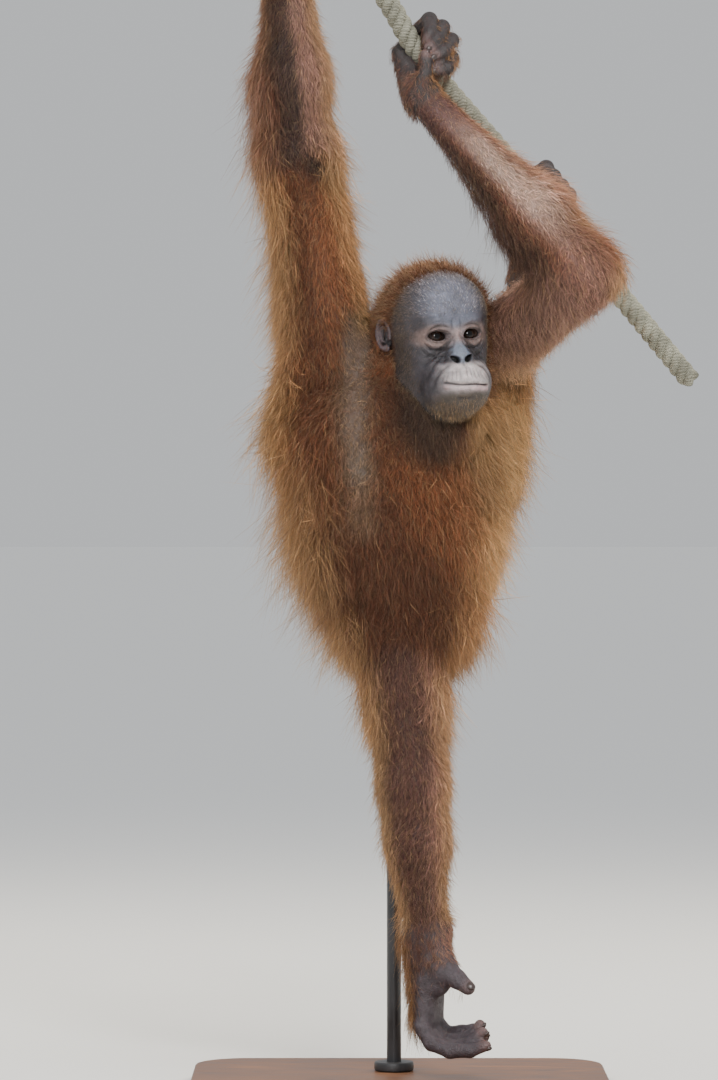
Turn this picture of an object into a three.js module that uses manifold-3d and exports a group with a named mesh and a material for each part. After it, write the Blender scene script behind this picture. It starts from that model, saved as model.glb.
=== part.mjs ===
// A young orangutan, life-size, that hangs from a cut length of rope by both hands and its left foot, with
// its right leg hanging free. A flat base and one rod carry it. Millimetres, +Z up, with the origin at the
// middle of the base's underside. It faces -Y and a little towards +X, so its own left side is on +X.

import * as THREE from "three";
import { mergeVertices } from "three/addons/utils/BufferGeometryUtils.js";
import Module from "manifold-3d";

const wasm = await Module();
wasm.setup();

const at = (x, y, z) => new THREE.Vector3(x, y, z);
const UP = at(0, 0, 1);
const DOWN = at(0, 0, -1);

// Driving dimensions, in millimetres and degrees.

const GAP = 0.3; // between nodes that touch
const FILLET = 26; // how widely the flesh of two parts runs together

const CHEST_TURN = 25; // the chest faces this far from -Y towards +X
const HEAD_TURN = 18;
const HEAD_ROLL = 5; // its left side is the higher one

// The core of the coat lies this far over the flesh, and the locks' tips stand this far over the core.
const COAT = {
  torso: { core: 11, rise: 16 },
  arm: { core: 8, rise: 14 },
  leg: { core: 8, rise: 14 },
  head: { core: 0, rise: 15 },
  neck: { core: 8, rise: 10 },
};

// A lock is a flat, three-sided strip that follows the flesh downhill and tapers to a point.
const LOCK = {
  sink: 5,
  thick: 6,
  heights: [0, 0.4, 0.8, 1], // of the rise, from the root to the tip
  widths: [0.9, 1, 0.65], // of the width
};

// The rope runs down from the right hand to the left hand, where it is pulled a little aside, and on.
const ROPE = {
  radius: 12,
  hollow: 2.8, // how deep the groove between two strands is
  lay: 75, // one turn of a strand
  rings: 84,
  path: [
    at(-172, -120, 1432),
    at(-132, -100, 1372),
    at(-9.5, -38, 1190),
    at(9.6, -34, 1157),
    at(25, -30, 1135),
    at(49, -20, 1106),
    at(121, 6, 1026),
    at(240, 57, 888),
    at(326, 93, 788),
  ],
};
const RIGHT_GRIP = { middle: at(-132, -100, 1372), along: at(122.5, 62, -182).normalize() };
const LEFT_FOOT_GRIP = { middle: at(155, 20.5, 987), along: at(119, 51, -138).normalize() };

const JOINT = {
  rightShoulder: at(-74, -18, 822),
  rightElbow: at(-110, -48, 1034),
  rightWrist: at(-130, -95, 1290),
  leftShoulder: at(100, 36, 818),
  leftElbow: at(197, -108, 897),
  leftWrist: at(24, -50, 1092),
  rightHip: at(0, 4, 530),
  rightKnee: at(14, -12, 342),
  rightAnkle: at(29, 4, 174),
  leftHip: at(60, 50, 572),
  leftKnee: at(98, 146, 742),
  leftAnkle: at(145, 92, 902),
};

const ARM = { shoulder: 37, aboveElbow: 30, elbow: 29, belly: 31, wrist: 17 };
const LEG = { hip: 42, knee: 30, calf: 27, ankle: 19 };

const BASE = { width: 460, depth: 380, height: 18, corner: 60, bevel: 3 };
const ROD = { radius: 8, x: -6, y: 64, top: 560, collarRadius: 22, collarHeight: 10 };

// Frames.

// Three directions of a part that is turned about Z and rolled about its own front.
function turned(degrees, roll = 0) {
  const front = DOWN.clone().cross(at(1, 0, 0)).applyAxisAngle(UP, THREE.MathUtils.degToRad(degrees));
  const left = UP.clone().cross(front).applyAxisAngle(front, THREE.MathUtils.degToRad(roll));
  return { left, front, up: left.clone().cross(front).negate() };
}

const CHEST = turned(CHEST_TURN);
const HEAD = { ...turned(HEAD_TURN, HEAD_ROLL), middle: at(39.5, -42, 838) };
const onHead = (left, front, up) =>
  HEAD.middle
    .clone()
    .addScaledVector(HEAD.left, left)
    .addScaledVector(HEAD.front, front)
    .addScaledVector(HEAD.up, up);

// Flesh: each form gives a point's distance from its surface, below zero inside.

// A round rod that may taper.
function bone(from, to, startRadius, endRadius = startRadius) {
  const span = to.clone().sub(from);
  const lengthSquared = span.lengthSq();
  const foot = at(0, 0, 0);
  return (p) => {
    const share = THREE.MathUtils.clamp(foot.subVectors(p, from).dot(span) / lengthSquared, 0, 1);
    const reach = foot.copy(from).addScaledVector(span, share).distanceTo(p);
    return reach - THREE.MathUtils.lerp(startRadius, endRadius, share);
  };
}

// An egg with half sizes along a frame's left, front and up.
function egg(middle, [wide, deep, high], frame) {
  const q = at(0, 0, 0);
  return (p) => {
    q.subVectors(p, middle);
    const x = q.dot(frame.left) / wide;
    const y = q.dot(frame.front) / deep;
    const z = q.dot(frame.up) / high;
    const share = Math.hypot(x, y, z);
    const slope = Math.hypot(x / wide, y / deep, z / high);
    return slope > 0 ? (share * (share - 1)) / slope : -Math.min(wide, deep, high);
  };
}

// Forms that run together, with a fillet of about the given width.
function together(fillet, ...forms) {
  const join = (a, b) => {
    const close = Math.max(fillet - Math.abs(a - b), 0) / fillet;
    return Math.min(a, b) - (close * close * fillet) / 4;
  };
  return (p) => forms.map((form) => form(p)).reduce(join);
}

// The direction out of the flesh at a point.
function outward(form, p) {
  const step = 0.5;
  const along = (x, y, z) =>
    form(at(p.x + x, p.y + y, p.z + z)) - form(at(p.x - x, p.y - y, p.z - z));
  return at(along(step, 0, 0), along(0, step, 0), along(0, 0, step)).normalize();
}

// The place where a ray from inside leaves the form, at the given height over its surface.
function surface(form, height, from, direction, reach) {
  const step = 4;
  const p = at(0, 0, 0);
  const over = (r) => form(p.copy(from).addScaledVector(direction, r)) - height;
  let inside = 0;
  while (inside < reach && over(inside + step) < 0) inside += step;
  let outside = inside + step;
  for (let halving = 0; halving < 12; halving++) {
    const middle = (inside + outside) / 2;
    if (over(middle) < 0) inside = middle;
    else outside = middle;
  }
  return from.clone().addScaledVector(direction, outside);
}

const TORSO = together(
  FILLET,
  egg(at(12, 14, 546), [68, 56, 70], CHEST),
  egg(at(1, 2, 634), [101, 78, 92], CHEST),
  egg(at(-2, 2, 712), [112, 78, 102], CHEST),
  egg(at(6, 26, 792), [100, 54, 56], CHEST),
  bone(at(-84, -16, 880), at(-100, -12, 730), 32, 30),
  bone(at(104, 40, 800), at(92, 40, 690), 30, 30),
);
const RIGHT_ARM = together(
  FILLET,
  bone(JOINT.rightShoulder, JOINT.rightElbow, ARM.shoulder, ARM.aboveElbow),
  bone(JOINT.rightElbow, JOINT.rightElbow.clone().lerp(JOINT.rightWrist, 0.3), ARM.elbow, ARM.belly),
  bone(JOINT.rightElbow.clone().lerp(JOINT.rightWrist, 0.3), JOINT.rightWrist, ARM.belly, ARM.wrist),
);
const LEFT_ARM = together(
  FILLET,
  bone(JOINT.leftShoulder, JOINT.leftElbow, ARM.shoulder, ARM.aboveElbow),
  bone(JOINT.leftElbow, JOINT.leftElbow.clone().lerp(JOINT.leftWrist, 0.3), ARM.elbow, ARM.belly),
  bone(JOINT.leftElbow.clone().lerp(JOINT.leftWrist, 0.3), JOINT.leftWrist, ARM.belly, ARM.wrist),
);
const RIGHT_LEG = together(
  FILLET,
  bone(JOINT.rightHip, JOINT.rightKnee, LEG.hip, LEG.knee),
  bone(JOINT.rightKnee, JOINT.rightKnee.clone().lerp(JOINT.rightAnkle, 0.35), LEG.knee, LEG.calf),
  bone(JOINT.rightKnee.clone().lerp(JOINT.rightAnkle, 0.35), JOINT.rightAnkle, LEG.calf, LEG.ankle),
);
const LEFT_LEG = together(
  FILLET,
  bone(JOINT.leftHip, JOINT.leftKnee, LEG.hip, LEG.knee),
  bone(JOINT.leftKnee, JOINT.leftKnee.clone().lerp(JOINT.leftAnkle, 0.35), LEG.knee, LEG.calf),
  bone(JOINT.leftKnee.clone().lerp(JOINT.leftAnkle, 0.35), JOINT.leftAnkle, LEG.calf, LEG.ankle),
);
const NECK = together(
  FILLET,
  bone(at(16, 8, 800), onHead(0, -4, -30), 50, 46),
  egg(at(40, -44, 752), [44, 36, 50], HEAD),
);
const SKULL = together(
  14,
  egg(onHead(0, -2, 8), [54, 64, 56], HEAD),
  egg(onHead(0, 18, 22), [46, 44, 38], HEAD),
  egg(onHead(0, 24, -24), [45, 38, 40], HEAD),
  egg(onHead(1, 50, -57), [38, 36, 28], HEAD),
  egg(onHead(1, 40, -73), [33, 37, 25], HEAD),
  egg(onHead(0, 4, -50), [47, 44, 40], HEAD),
  bone(onHead(-22, 50, 5), onHead(22, 50, 5), 11, 11),
  bone(onHead(0, 54, -8), onHead(0, 68, -30), 7, 9),
);

// Meshes and solids.

// A closed mesh over rings of points, with one point at each end.
function closedRings(start, rings, end) {
  const points = [start, ...rings.flat(), end];
  const sides = rings[0].length;
  const faces = [];
  const index = (ring, side) => 1 + ring * sides + (side % sides);
  for (let side = 0; side < sides; side++) {
    faces.push(0, index(0, side + 1), index(0, side));
    faces.push(points.length - 1, index(rings.length - 1, side), index(rings.length - 1, side + 1));
    for (let ring = 0; ring + 1 < rings.length; ring++) {
      const corner = index(ring, side);
      const next = index(ring, side + 1);
      faces.push(corner, next, index(ring + 1, side + 1));
      faces.push(corner, index(ring + 1, side + 1), index(ring + 1, side));
    }
  }
  return new THREE.BufferGeometry().setFromPoints(points).setIndex(faces);
}

function solid(geometry) {
  const bare = geometry.clone();
  bare.deleteAttribute("normal");
  bare.deleteAttribute("uv");
  const merged = mergeVertices(bare, 1e-4);
  const made = new wasm.Manifold(
    new wasm.Mesh({
      numProp: 3,
      vertProperties: new Float32Array(merged.attributes.position.array),
      triVerts: new Uint32Array(merged.index.array),
    }),
  );
  if (made.volume() > 0) return made;
  const triangles = merged.index.array;
  for (let i = 0; i < triangles.length; i += 3)
    [triangles[i + 1], triangles[i + 2]] = [triangles[i + 2], triangles[i + 1]];
  return solid(merged);
}

const fuse = (pieces) => pieces.reduce((all, piece) => all.add(piece));
const largest = (made) => made.decompose().sort((a, b) => b.volume() - a.volume())[0];

// The two sides of a cut across a limb, each half a gap clear of it.
function cutAcross(whole, place, direction) {
  const across = direction.clone().normalize();
  const offset = across.dot(place);
  return [
    whole.trimByPlane(across.clone().negate().toArray(), -offset + GAP / 2),
    whole.trimByPlane(across.toArray(), offset + GAP / 2),
  ];
}

// A ring frame along a spine: its side direction stays square to a fixed heading.
function framesAlong(spine, count, heading) {
  const curve = new THREE.CatmullRomCurve3(spine, false, "centripetal");
  return Array.from({ length: count + 1 }, (_, i) => {
    const middle = curve.getPointAt(i / count);
    const ahead = curve.getTangentAt(i / count);
    const side = heading.clone().cross(ahead).normalize();
    return { middle, ahead, side, rise: ahead.clone().cross(side) };
  });
}

// A sleeve over a form: rings of rays from a spine, each ended where it leaves the form, and rounded ends.
function sleeve({ form, height, spine, rings, sides, heading = HEAD.front, reach = 170, tilts = [40] }) {
  const frames = framesAlong(spine, rings, heading);
  const leans = [
    ...[...tilts].reverse().map((tilt) => [frames[0], -tilt]),
    ...frames.map((frame) => [frame, 0]),
    ...tilts.map((tilt) => [frames[rings], tilt]),
  ];
  const ray = (frame, turn, tilt) => {
    const lean = THREE.MathUtils.degToRad(tilt);
    return frame.side
      .clone()
      .multiplyScalar(Math.cos(turn) * Math.cos(lean))
      .addScaledVector(frame.rise, Math.sin(turn) * Math.cos(lean))
      .addScaledVector(frame.ahead, Math.sin(lean));
  };
  const layers = leans.map(([frame, tilt]) =>
    Array.from({ length: sides }, (_, side) =>
      surface(form, height, frame.middle, ray(frame, (2 * Math.PI * side) / sides, tilt), reach),
    ),
  );
  const first = frames[0];
  const last = frames[rings];
  return solid(
    closedRings(
      surface(form, height, first.middle, first.ahead.clone().negate(), reach),
      layers,
      surface(form, height, last.middle, last.ahead, reach),
    ),
  );
}

// A round tube along points, with a radius at each, and domed ends.
function tube(points, radii, sides, rings, heading = UP) {
  const frames = framesAlong(points, rings, heading);
  const radiusAt = (share) => {
    const place = share * (radii.length - 1);
    const lower = Math.min(Math.floor(place), radii.length - 2);
    return THREE.MathUtils.lerp(radii[lower], radii[lower + 1], place - lower);
  };
  const ring = (frame, radius, ahead) =>
    Array.from({ length: sides }, (_, side) => {
      const turn = (2 * Math.PI * side) / sides;
      return frame.middle
        .clone()
        .addScaledVector(frame.ahead, ahead)
        .addScaledVector(frame.side, Math.cos(turn) * radius)
        .addScaledVector(frame.rise, Math.sin(turn) * radius);
    });
  const [first, last] = [frames[0], frames[rings]];
  const [start, end] = [radiusAt(0), radiusAt(1)];
  const dome = 0.7; // of the radius, for the ring half way round an end
  const layers = [
    ring(first, start * dome, -start * dome),
    ...frames.map((frame, i) => ring(frame, radiusAt(i / rings), 0)),
    ring(last, end * dome, end * dome),
  ];
  return solid(
    closedRings(
      first.middle.clone().addScaledVector(first.ahead, -start),
      layers,
      last.middle.clone().addScaledVector(last.ahead, end),
    ),
  );
}

// Locks of the coat.

function random(seed) {
  let state = seed;
  return () => {
    state = (state + 0x6d2b79f5) | 0;
    let mixed = Math.imul(state ^ (state >>> 15), 1 | state);
    mixed = (mixed + Math.imul(mixed ^ (mixed >>> 7), 61 | mixed)) ^ mixed;
    return ((mixed ^ (mixed >>> 14)) >>> 0) / 4294967296;
  };
}

// One lock from its root, or null where a part of it would come nearer to another part of the body.
function hairLock({ form, core, rise, root, lie, length, width, allowed }) {
  const foot = root.clone();
  const rings = [];
  const steps = LOCK.heights.length - 1;
  let tip = null;
  for (let i = 0; i <= steps; i++) {
    const out = outward(form, foot);
    const slide = lie.clone().addScaledVector(out, -lie.dot(out));
    if (slide.length() < 0.35) slide.addScaledVector(lie, 0.5);
    slide.normalize();
    const side = out.clone().cross(slide).normalize();
    const spot = foot.clone().addScaledVector(out, i === 0 ? -LOCK.sink : rise * LOCK.heights[i]);
    if (i === steps) tip = spot;
    else {
      const half = (width / 2) * LOCK.widths[i];
      const thick = LOCK.thick * LOCK.widths[i];
      rings.push([
        spot.clone().addScaledVector(side, -half),
        spot.clone().addScaledVector(side, half),
        spot.clone().addScaledVector(out, thick),
      ]);
    }
    foot.addScaledVector(slide, length / steps);
    const over = form(foot) - core;
    foot.addScaledVector(outward(form, foot), over > 0 ? -over * 0.7 : -over);
  }
  const corners = [...rings.slice(1).flat(), tip];
  if (!corners.every(allowed)) return null;
  const start = rings[0].reduce((sum, spot) => sum.add(spot), at(0, 0, 0)).divideScalar(3);
  return solid(closedRings(start, rings, tip));
}

// Rows of locks round a spine, each row half a place round from the last. A row has its place along the
// spine, its number of locks and, past an end of the spine, the tilt of its rays.
function locksRound({ form, coat, spine, heading = HEAD.front, rows, reach, seed, allowed, skip, size }) {
  const draw = random(seed);
  const steps = 60;
  const frames = framesAlong(spine, steps, heading);
  const made = [];
  rows.forEach(([share, count, tilt = 0], row) => {
    const frame = frames[Math.round(share * steps)];
    const lean = THREE.MathUtils.degToRad(tilt);
    for (let column = 0; column < count; column++) {
      const turn = (2 * Math.PI * (column + (row % 2) / 2 + 0.3 * (draw() - 0.5))) / count;
      const ray = frame.side
        .clone()
        .multiplyScalar(Math.cos(turn) * Math.cos(lean))
        .addScaledVector(frame.rise, Math.sin(turn) * Math.cos(lean))
        .addScaledVector(frame.ahead, Math.sin(lean));
      const root = surface(form, coat.core, frame.middle, ray, reach);
      const lock = hairLock({
        form,
        core: coat.core,
        rise: coat.rise * (0.85 + 0.3 * draw()),
        root,
        lie: DOWN.clone().applyAxisAngle(outward(form, root), 0.5 * (draw() - 0.5)),
        length: size.length * (0.85 + 0.3 * draw()),
        width: size.width * (0.9 + 0.2 * draw()),
        allowed,
      });
      if (lock && !skip(root)) made.push(lock);
    }
  });
  return made;
}

// True where a point is nearer to its own part than to any of the others, by the margin.
function nearest(own, others, margin = 1) {
  return (p) => {
    const reach = own(p);
    return others.every((other) => other(p) > reach + margin);
  };
}

const grown = (form, core) => (p) => form(p) - core;

// The body.

const TORSO_SPINE = [at(14, 16, 520), at(2, 4, 630), at(0, 2, 720), at(8, 6, 790)];
const torsoSleeve = (height) =>
  sleeve({
    form: TORSO,
    height,
    spine: TORSO_SPINE,
    rings: 8,
    sides: 18,
    heading: CHEST.front,
    tilts: [35],
  });

function limbSleeve(form, height, spine, sides, rings) {
  return sleeve({ form, height, spine, rings, sides, reach: 60 });
}

function node(name, made, { color, roughness }) {
  const mesh = largest(made).getMesh();
  const geometry = new THREE.BufferGeometry()
    .setAttribute("position", new THREE.BufferAttribute(mesh.vertProperties, 3))
    .setIndex(new THREE.BufferAttribute(mesh.triVerts, 1));
  const piece = new THREE.Mesh(geometry, new THREE.MeshStandardMaterial({ color, roughness }));
  piece.name = name;
  return piece;
}

const FUR = { color: 0xa8552b, roughness: 0.8 };
const SKIN = { color: 0x5a5256, roughness: 0.6 };
const EYE = { color: 0x20140f, roughness: 0.1 };
const FIBRE = { color: 0xb9b59a, roughness: 0.9 };
const PAINT = { color: 0x2c2c2e, roughness: 0.4 };

// How far a point lies past the cut at a limb's root, and the form of what lies past it.
function pastRoot({ joints: [root, middle], rootCut }) {
  const run = middle.clone().sub(root).normalize();
  const place = root.clone().addScaledVector(run, rootCut);
  return (p) => p.clone().sub(place).dot(run);
}
function beyondRoot(part) {
  const past = pastRoot(part);
  return (p) => Math.max(part.form(p) - part.coat.core, -past(p));
}

const LIMBS = {
  rightArm: {
    form: RIGHT_ARM,
    coat: COAT.arm,
    joints: [JOINT.rightShoulder, JOINT.rightElbow, JOINT.rightWrist],
    rootCut: 62,
    endCut: 8,
    rows: [0.1, 0.22, 0.35, 0.48, 0.61, 0.74, 0.87].map((share) => [share, 5]),
    seed: 11,
  },
  leftArm: {
    form: LEFT_ARM,
    coat: COAT.arm,
    joints: [JOINT.leftShoulder, JOINT.leftElbow, JOINT.leftWrist],
    folded: true,
    rootCut: 50,
    endCut: 8,
    rows: [0.08, 0.2, 0.33, 0.46, 0.59, 0.72, 0.86].map((share) => [share, 4]),
    seed: 32,
  },
  rightLeg: {
    form: RIGHT_LEG,
    coat: COAT.leg,
    joints: [JOINT.rightHip, JOINT.rightKnee, JOINT.rightAnkle],
    rootCut: 62,
    endCut: 6,
    rows: [0.04, 0.18, 0.32, 0.46, 0.6, 0.74].map((share) => [share, 5]),
    seed: 13,
  },
  leftLeg: {
    form: LEFT_LEG,
    coat: COAT.leg,
    joints: [JOINT.leftHip, JOINT.leftKnee, JOINT.leftAnkle],
    rootCut: 50,
    endCut: 6,
    rows: [0.3, 0.46, 0.62, 0.78].map((share) => [share, 5]),
    seed: 24,
  },
};
const rod = bone(at(ROD.x, ROD.y, 0), at(ROD.x, ROD.y, ROD.top - 60), ROD.radius);
const heldRope = (p) =>
  Math.min(...ROPE.path.slice(1).map((spot, i) => bone(ROPE.path[i], spot, ROPE.radius)(p)));
const headForm = grown(SKULL, 0);
const neckForm = grown(NECK, COAT.neck.core);

// A limb of two lengths: the part that grows out of the torso, then the two lengths, parted by thin cuts.
function limb(name) {
  const { form, coat, joints, rootCut, endCut, folded, rows, seed } = LIMBS[name];
  const [root, middle, end] = joints;
  const sides = 10;
  const core = folded
    ? fuse([
        limbSleeve(form, coat.core, [root, root.clone().lerp(middle, 0.5), middle], sides, 2),
        limbSleeve(form, coat.core, [middle, middle.clone().lerp(end, 0.5), end], sides, 4),
      ])
    : limbSleeve(form, coat.core, joints, sides, 9);
  const others = Object.keys(LIMBS).filter((other) => other !== name);
  const own = grown(form, coat.core);
  const past = pastRoot(LIMBS[name]);
  const clearOfTorso = nearest(own, [grown(TORSO, COAT.torso.core)]);
  const clearOfOthers = nearest(own, [
    headForm,
    neckForm,
    rod,
    heldRope,
    ...others.map((other) => beyondRoot(LIMBS[other])),
  ]);
  const locks = locksRound({
    form,
    coat,
    spine: joints,
    rows,
    reach: 70,
    size: { length: 76, width: 38 },
    seed,
    allowed: (p) => clearOfOthers(p) && (past(p) < 0 || clearOfTorso(p)),
    skip: (root) => TORSO(root) < COAT.torso.core,
  });
  const upperRun = middle.clone().sub(root).normalize();
  const lowerRun = end.clone().sub(middle).normalize();
  const rootPlace = root.clone().addScaledVector(upperRun, rootCut);
  const [stump, rest] = cutAcross(fuse([core, ...locks]), rootPlace, upperRun);
  const [upper, beyond] = cutAcross(rest, middle, upperRun.clone().add(lowerRun));
  const [lower] = cutAcross(beyond, end.clone().addScaledVector(lowerRun, -endCut), lowerRun);
  return { stump, upper, lower };
}

const rightArm = limb("rightArm");
const leftArm = limb("leftArm");
const rightLeg = limb("rightLeg");
const leftLeg = limb("leftLeg");

const torsoLocks = locksRound({
  form: TORSO,
  coat: COAT.torso,
  spine: TORSO_SPINE,
  heading: CHEST.front,
  rows: [[0, 6, -40], [0.02, 10], [0.2, 11], [0.38, 12], [0.56, 12], [0.74, 12], [0.93, 11], [1, 7, 42]],
  reach: 170,
  size: { length: 94, width: 50 },
  seed: 15,
  skip: () => false,
  allowed: nearest(grown(TORSO, COAT.torso.core), [
    headForm,
    neckForm,
    rod,
    ...Object.keys(LIMBS).map((other) => beyondRoot(LIMBS[other])),
  ]),
});
const torsoClear = torsoSleeve(COAT.torso.core + GAP);

// Head.

// Rays from inside the head, in rings about its front, closest together on the face.
const HEAD_ROOT = onHead(0, 8, -16);
const FACE_RINGS = [7, 13, 19, 25, 31, 37, 44, 52, 61, 71, 82, 94, 108, 124, 142, 161];
function headSleeve(height, sides = 28) {
  const ray = (turn, lean) =>
    HEAD.front
      .clone()
      .multiplyScalar(Math.cos(lean))
      .addScaledVector(HEAD.left, Math.cos(turn) * Math.sin(lean))
      .addScaledVector(HEAD.up, Math.sin(turn) * Math.sin(lean));
  const layers = FACE_RINGS.map(THREE.MathUtils.degToRad).map((lean) =>
    Array.from({ length: sides }, (_, side) =>
      surface(SKULL, height, HEAD_ROOT, ray((2 * Math.PI * side) / sides, lean), 140),
    ),
  );
  return solid(
    closedRings(
      surface(SKULL, height, HEAD_ROOT, HEAD.front, 140),
      layers,
      surface(SKULL, height, HEAD_ROOT, HEAD.front.clone().negate(), 140),
    ),
  );
}

const EYES = { apart: 19, front: 45.5, up: -8, radius: 12, lid: 2.2, half: 9.8, columns: 12, rows: 8 };
const MOUTH = { left: 1.5, up: -64, half: 25, lift: 2.5, open: 1.6, deep: 5, steps: 8 };
const EAR = { apart: 58, front: -12, up: 1, half: 10.5, halfHeight: 16.5, swing: 3, room: 21 };
const NOSTRILS = { apart: 6.6, front: 76, up: -34 };

// A ball whose poles lie along the head's front, stretched by a scale along left, front and up.
function ball(middle, radius, columns, rows, [wide, deep, high] = [1, 1, 1]) {
  const geometry = new THREE.SphereGeometry(radius, columns, rows);
  geometry.rotateX(Math.PI / 2);
  const points = geometry.attributes.position;
  for (let i = 0; i < points.count; i++) {
    const spot = middle
      .clone()
      .addScaledVector(HEAD.left, points.getX(i) * wide)
      .addScaledVector(HEAD.front, points.getZ(i) * deep)
      .addScaledVector(HEAD.up, points.getY(i) * high);
    points.setXYZ(i, spot.x, spot.y, spot.z);
  }
  return solid(geometry);
}

// A straight prism along the head's front from an outline of [left, up] points.
function prism(outline, from, to) {
  const ring = (front) => outline.map(([left, up]) => onHead(left, front, up));
  const middle = (front) =>
    onHead(
      outline.reduce((sum, spot) => sum + spot[0], 0) / outline.length,
      front,
      outline.reduce((sum, spot) => sum + spot[1], 0) / outline.length,
    );
  return solid(closedRings(middle(from), [ring(from), ring(to)], middle(to)));
}

// The opening between the lids, with the inner corner a little lower and a flatter lower lid.
function lidOpening(side) {
  const outline = [];
  for (let i = 0; i < 12; i++) {
    const turn = (2 * Math.PI * i) / 12;
    const across = Math.cos(turn);
    const rise = Math.sin(turn) * (Math.sin(turn) > 0 ? 5.2 : 4.4);
    outline.push([side * (EYES.apart + EYES.half * across), EYES.up + rise + 0.8 * across]);
  }
  return prism(outline, EYES.front, EYES.front + 30);
}

const eyeMiddle = (side) => onHead(side * EYES.apart, EYES.front, EYES.up);
const mouthUp = (left) => MOUTH.up + MOUTH.lift * (left / MOUTH.half) ** 2;
function lipAt(left, over) {
  const inside = onHead(MOUTH.left + left * 0.35, 30, MOUTH.up);
  const ahead = onHead(MOUTH.left + left, 88, mouthUp(left)).sub(inside).normalize();
  return surface(SKULL, over, inside, ahead, 90);
}

// The line of the mouth: a thin curved slot that follows the lips.
function mouthSlot() {
  const { steps } = MOUTH;
  const rings = [];
  for (let i = 0; i <= steps; i++) {
    const left = MOUTH.half * (1 - (2 * i) / steps);
    const half = (MOUTH.open / 2) * (i === 0 || i === steps ? 0.4 : 1);
    const outer = lipAt(left, 9);
    const inner = lipAt(left, -MOUTH.deep + 2);
    rings.push([
      outer.clone().addScaledVector(HEAD.up, half),
      outer.clone().addScaledVector(HEAD.up, -half),
      inner.clone().addScaledVector(HEAD.up, -half),
      inner.clone().addScaledVector(HEAD.up, half),
    ]);
  }
  const middle = (ring) => ring.reduce((sum, spot) => sum.add(spot), at(0, 0, 0)).divideScalar(4);
  return solid(closedRings(middle(rings[0]), rings, middle(rings[steps])));
}

// One lip: a soft roll above or below the line of the mouth.
function lip(side) {
  const spots = [-1, -0.75, -0.4, 0, 0.4, 0.75, 1].map((share) =>
    lipAt(share * (MOUTH.half + 2), -1.5).addScaledVector(HEAD.up, side * (4 - 1.6 * share * share)),
  );
  return tube(spots, [2, 3.4, 4.4, 4.8, 4.4, 3.4, 2], 5, 8, HEAD.up);
}

// A small ear: a shell that stands out from the side of the head and is hollowed into a cup.
function earShell(side) {
  const middle = onHead(side * EAR.apart, EAR.front, EAR.up);
  const out = HEAD.left.clone().multiplyScalar(side);
  const spot = (along, rise, over) =>
    middle
      .clone()
      .addScaledVector(HEAD.front, along)
      .addScaledVector(HEAD.up, rise)
      .addScaledVector(out, over);
  const ring = (grow, over) =>
    Array.from({ length: 12 }, (_, i) => {
      const turn = (2 * Math.PI * i) / 12;
      const along = grow * Math.cos(turn) * side;
      return spot(EAR.half * along, EAR.halfHeight * grow * Math.sin(turn) + 1, over - EAR.swing * along);
    });
  return solid(
    closedRings(
      spot(0, 0, -12),
      [ring(0.7, -12), ring(1, 3), ring(0.97, 6.5), ring(0.82, 7), ring(0.66, 4), ring(0.45, 0)],
      spot(0, -1, -1.5),
    ),
  );
}

const earMiddle = (side) => onHead(side * (EAR.apart + 5), EAR.front + 1, EAR.up + 1);
const earRoom = (side) => ball(earMiddle(side), EAR.room, 10, 8, [0.85, 0.85, 1.05]);

// The hair of the crown and cheeks: it starts where the bare face ends and runs outward and back.
function headLocks() {
  const draw = random(16);
  const made = [];
  const rows = [
    { lean: 68, from: 35, to: 145, count: 6 },
    { lean: 88, from: -5, to: 185, count: 10 },
    { lean: 116, from: -5, to: 185, count: 8 },
  ];
  for (const { lean, from, to, count } of rows)
    for (let i = 0; i < count; i++) {
      const share = (i + 0.3 * (draw() - 0.5)) / (count - 1);
      const turn = THREE.MathUtils.degToRad(from + (to - from) * share);
      const tilt = THREE.MathUtils.degToRad(lean);
      const away = HEAD.left
        .clone()
        .multiplyScalar(Math.cos(turn))
        .addScaledVector(HEAD.up, Math.sin(turn));
      const ray = HEAD.front
        .clone()
        .multiplyScalar(Math.cos(tilt))
        .addScaledVector(away, Math.sin(tilt));
      const lock = hairLock({
        form: SKULL,
        core: 0,
        rise: COAT.head.rise * (0.85 + 0.3 * draw()),
        root: surface(SKULL, 0, HEAD_ROOT, ray, 140),
        lie: HEAD.front.clone().multiplyScalar(-0.8).addScaledVector(away, 0.6).normalize(),
        length: 46 * (0.85 + 0.3 * draw()),
        width: 29,
        allowed: nearest(headForm, [
          grown(TORSO, COAT.torso.core + 3),
          neckForm,
          beyondRoot(LIMBS.leftArm),
          beyondRoot(LIMBS.rightArm),
          (p) => p.distanceTo(earMiddle(-1)) - EAR.room,
          (p) => p.distanceTo(earMiddle(1)) - EAR.room,
        ]),
      });
      if (lock) made.push(lock);
    }
  return made;
}

const headClear = headSleeve(GAP);
const plainHead = fuse([
  headSleeve(0),
  ...headLocks(),
  ball(eyeMiddle(1), EYES.radius + EYES.lid, 14, 10),
  ball(eyeMiddle(-1), EYES.radius + EYES.lid, 14, 10),
  ball(onHead(NOSTRILS.apart, 71, -33), 6.5, 8, 6),
  ball(onHead(-NOSTRILS.apart, 71, -33), 6.5, 8, 6),
  lip(1),
  lip(-1),
]);
const head = [
  ball(eyeMiddle(1), EYES.radius + GAP, EYES.columns, EYES.rows),
  ball(eyeMiddle(-1), EYES.radius + GAP, EYES.columns, EYES.rows),
  lidOpening(1),
  lidOpening(-1),
  ball(onHead(NOSTRILS.apart, NOSTRILS.front, NOSTRILS.up - 1), 4, 6, 5, [1, 1.6, 0.7]),
  ball(onHead(-NOSTRILS.apart, NOSTRILS.front, NOSTRILS.up - 1), 4, 6, 5, [1, 1.6, 0.7]),
  mouthSlot(),
].reduce((all, cut) => all.subtract(cut), plainHead);

// Neck.

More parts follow.
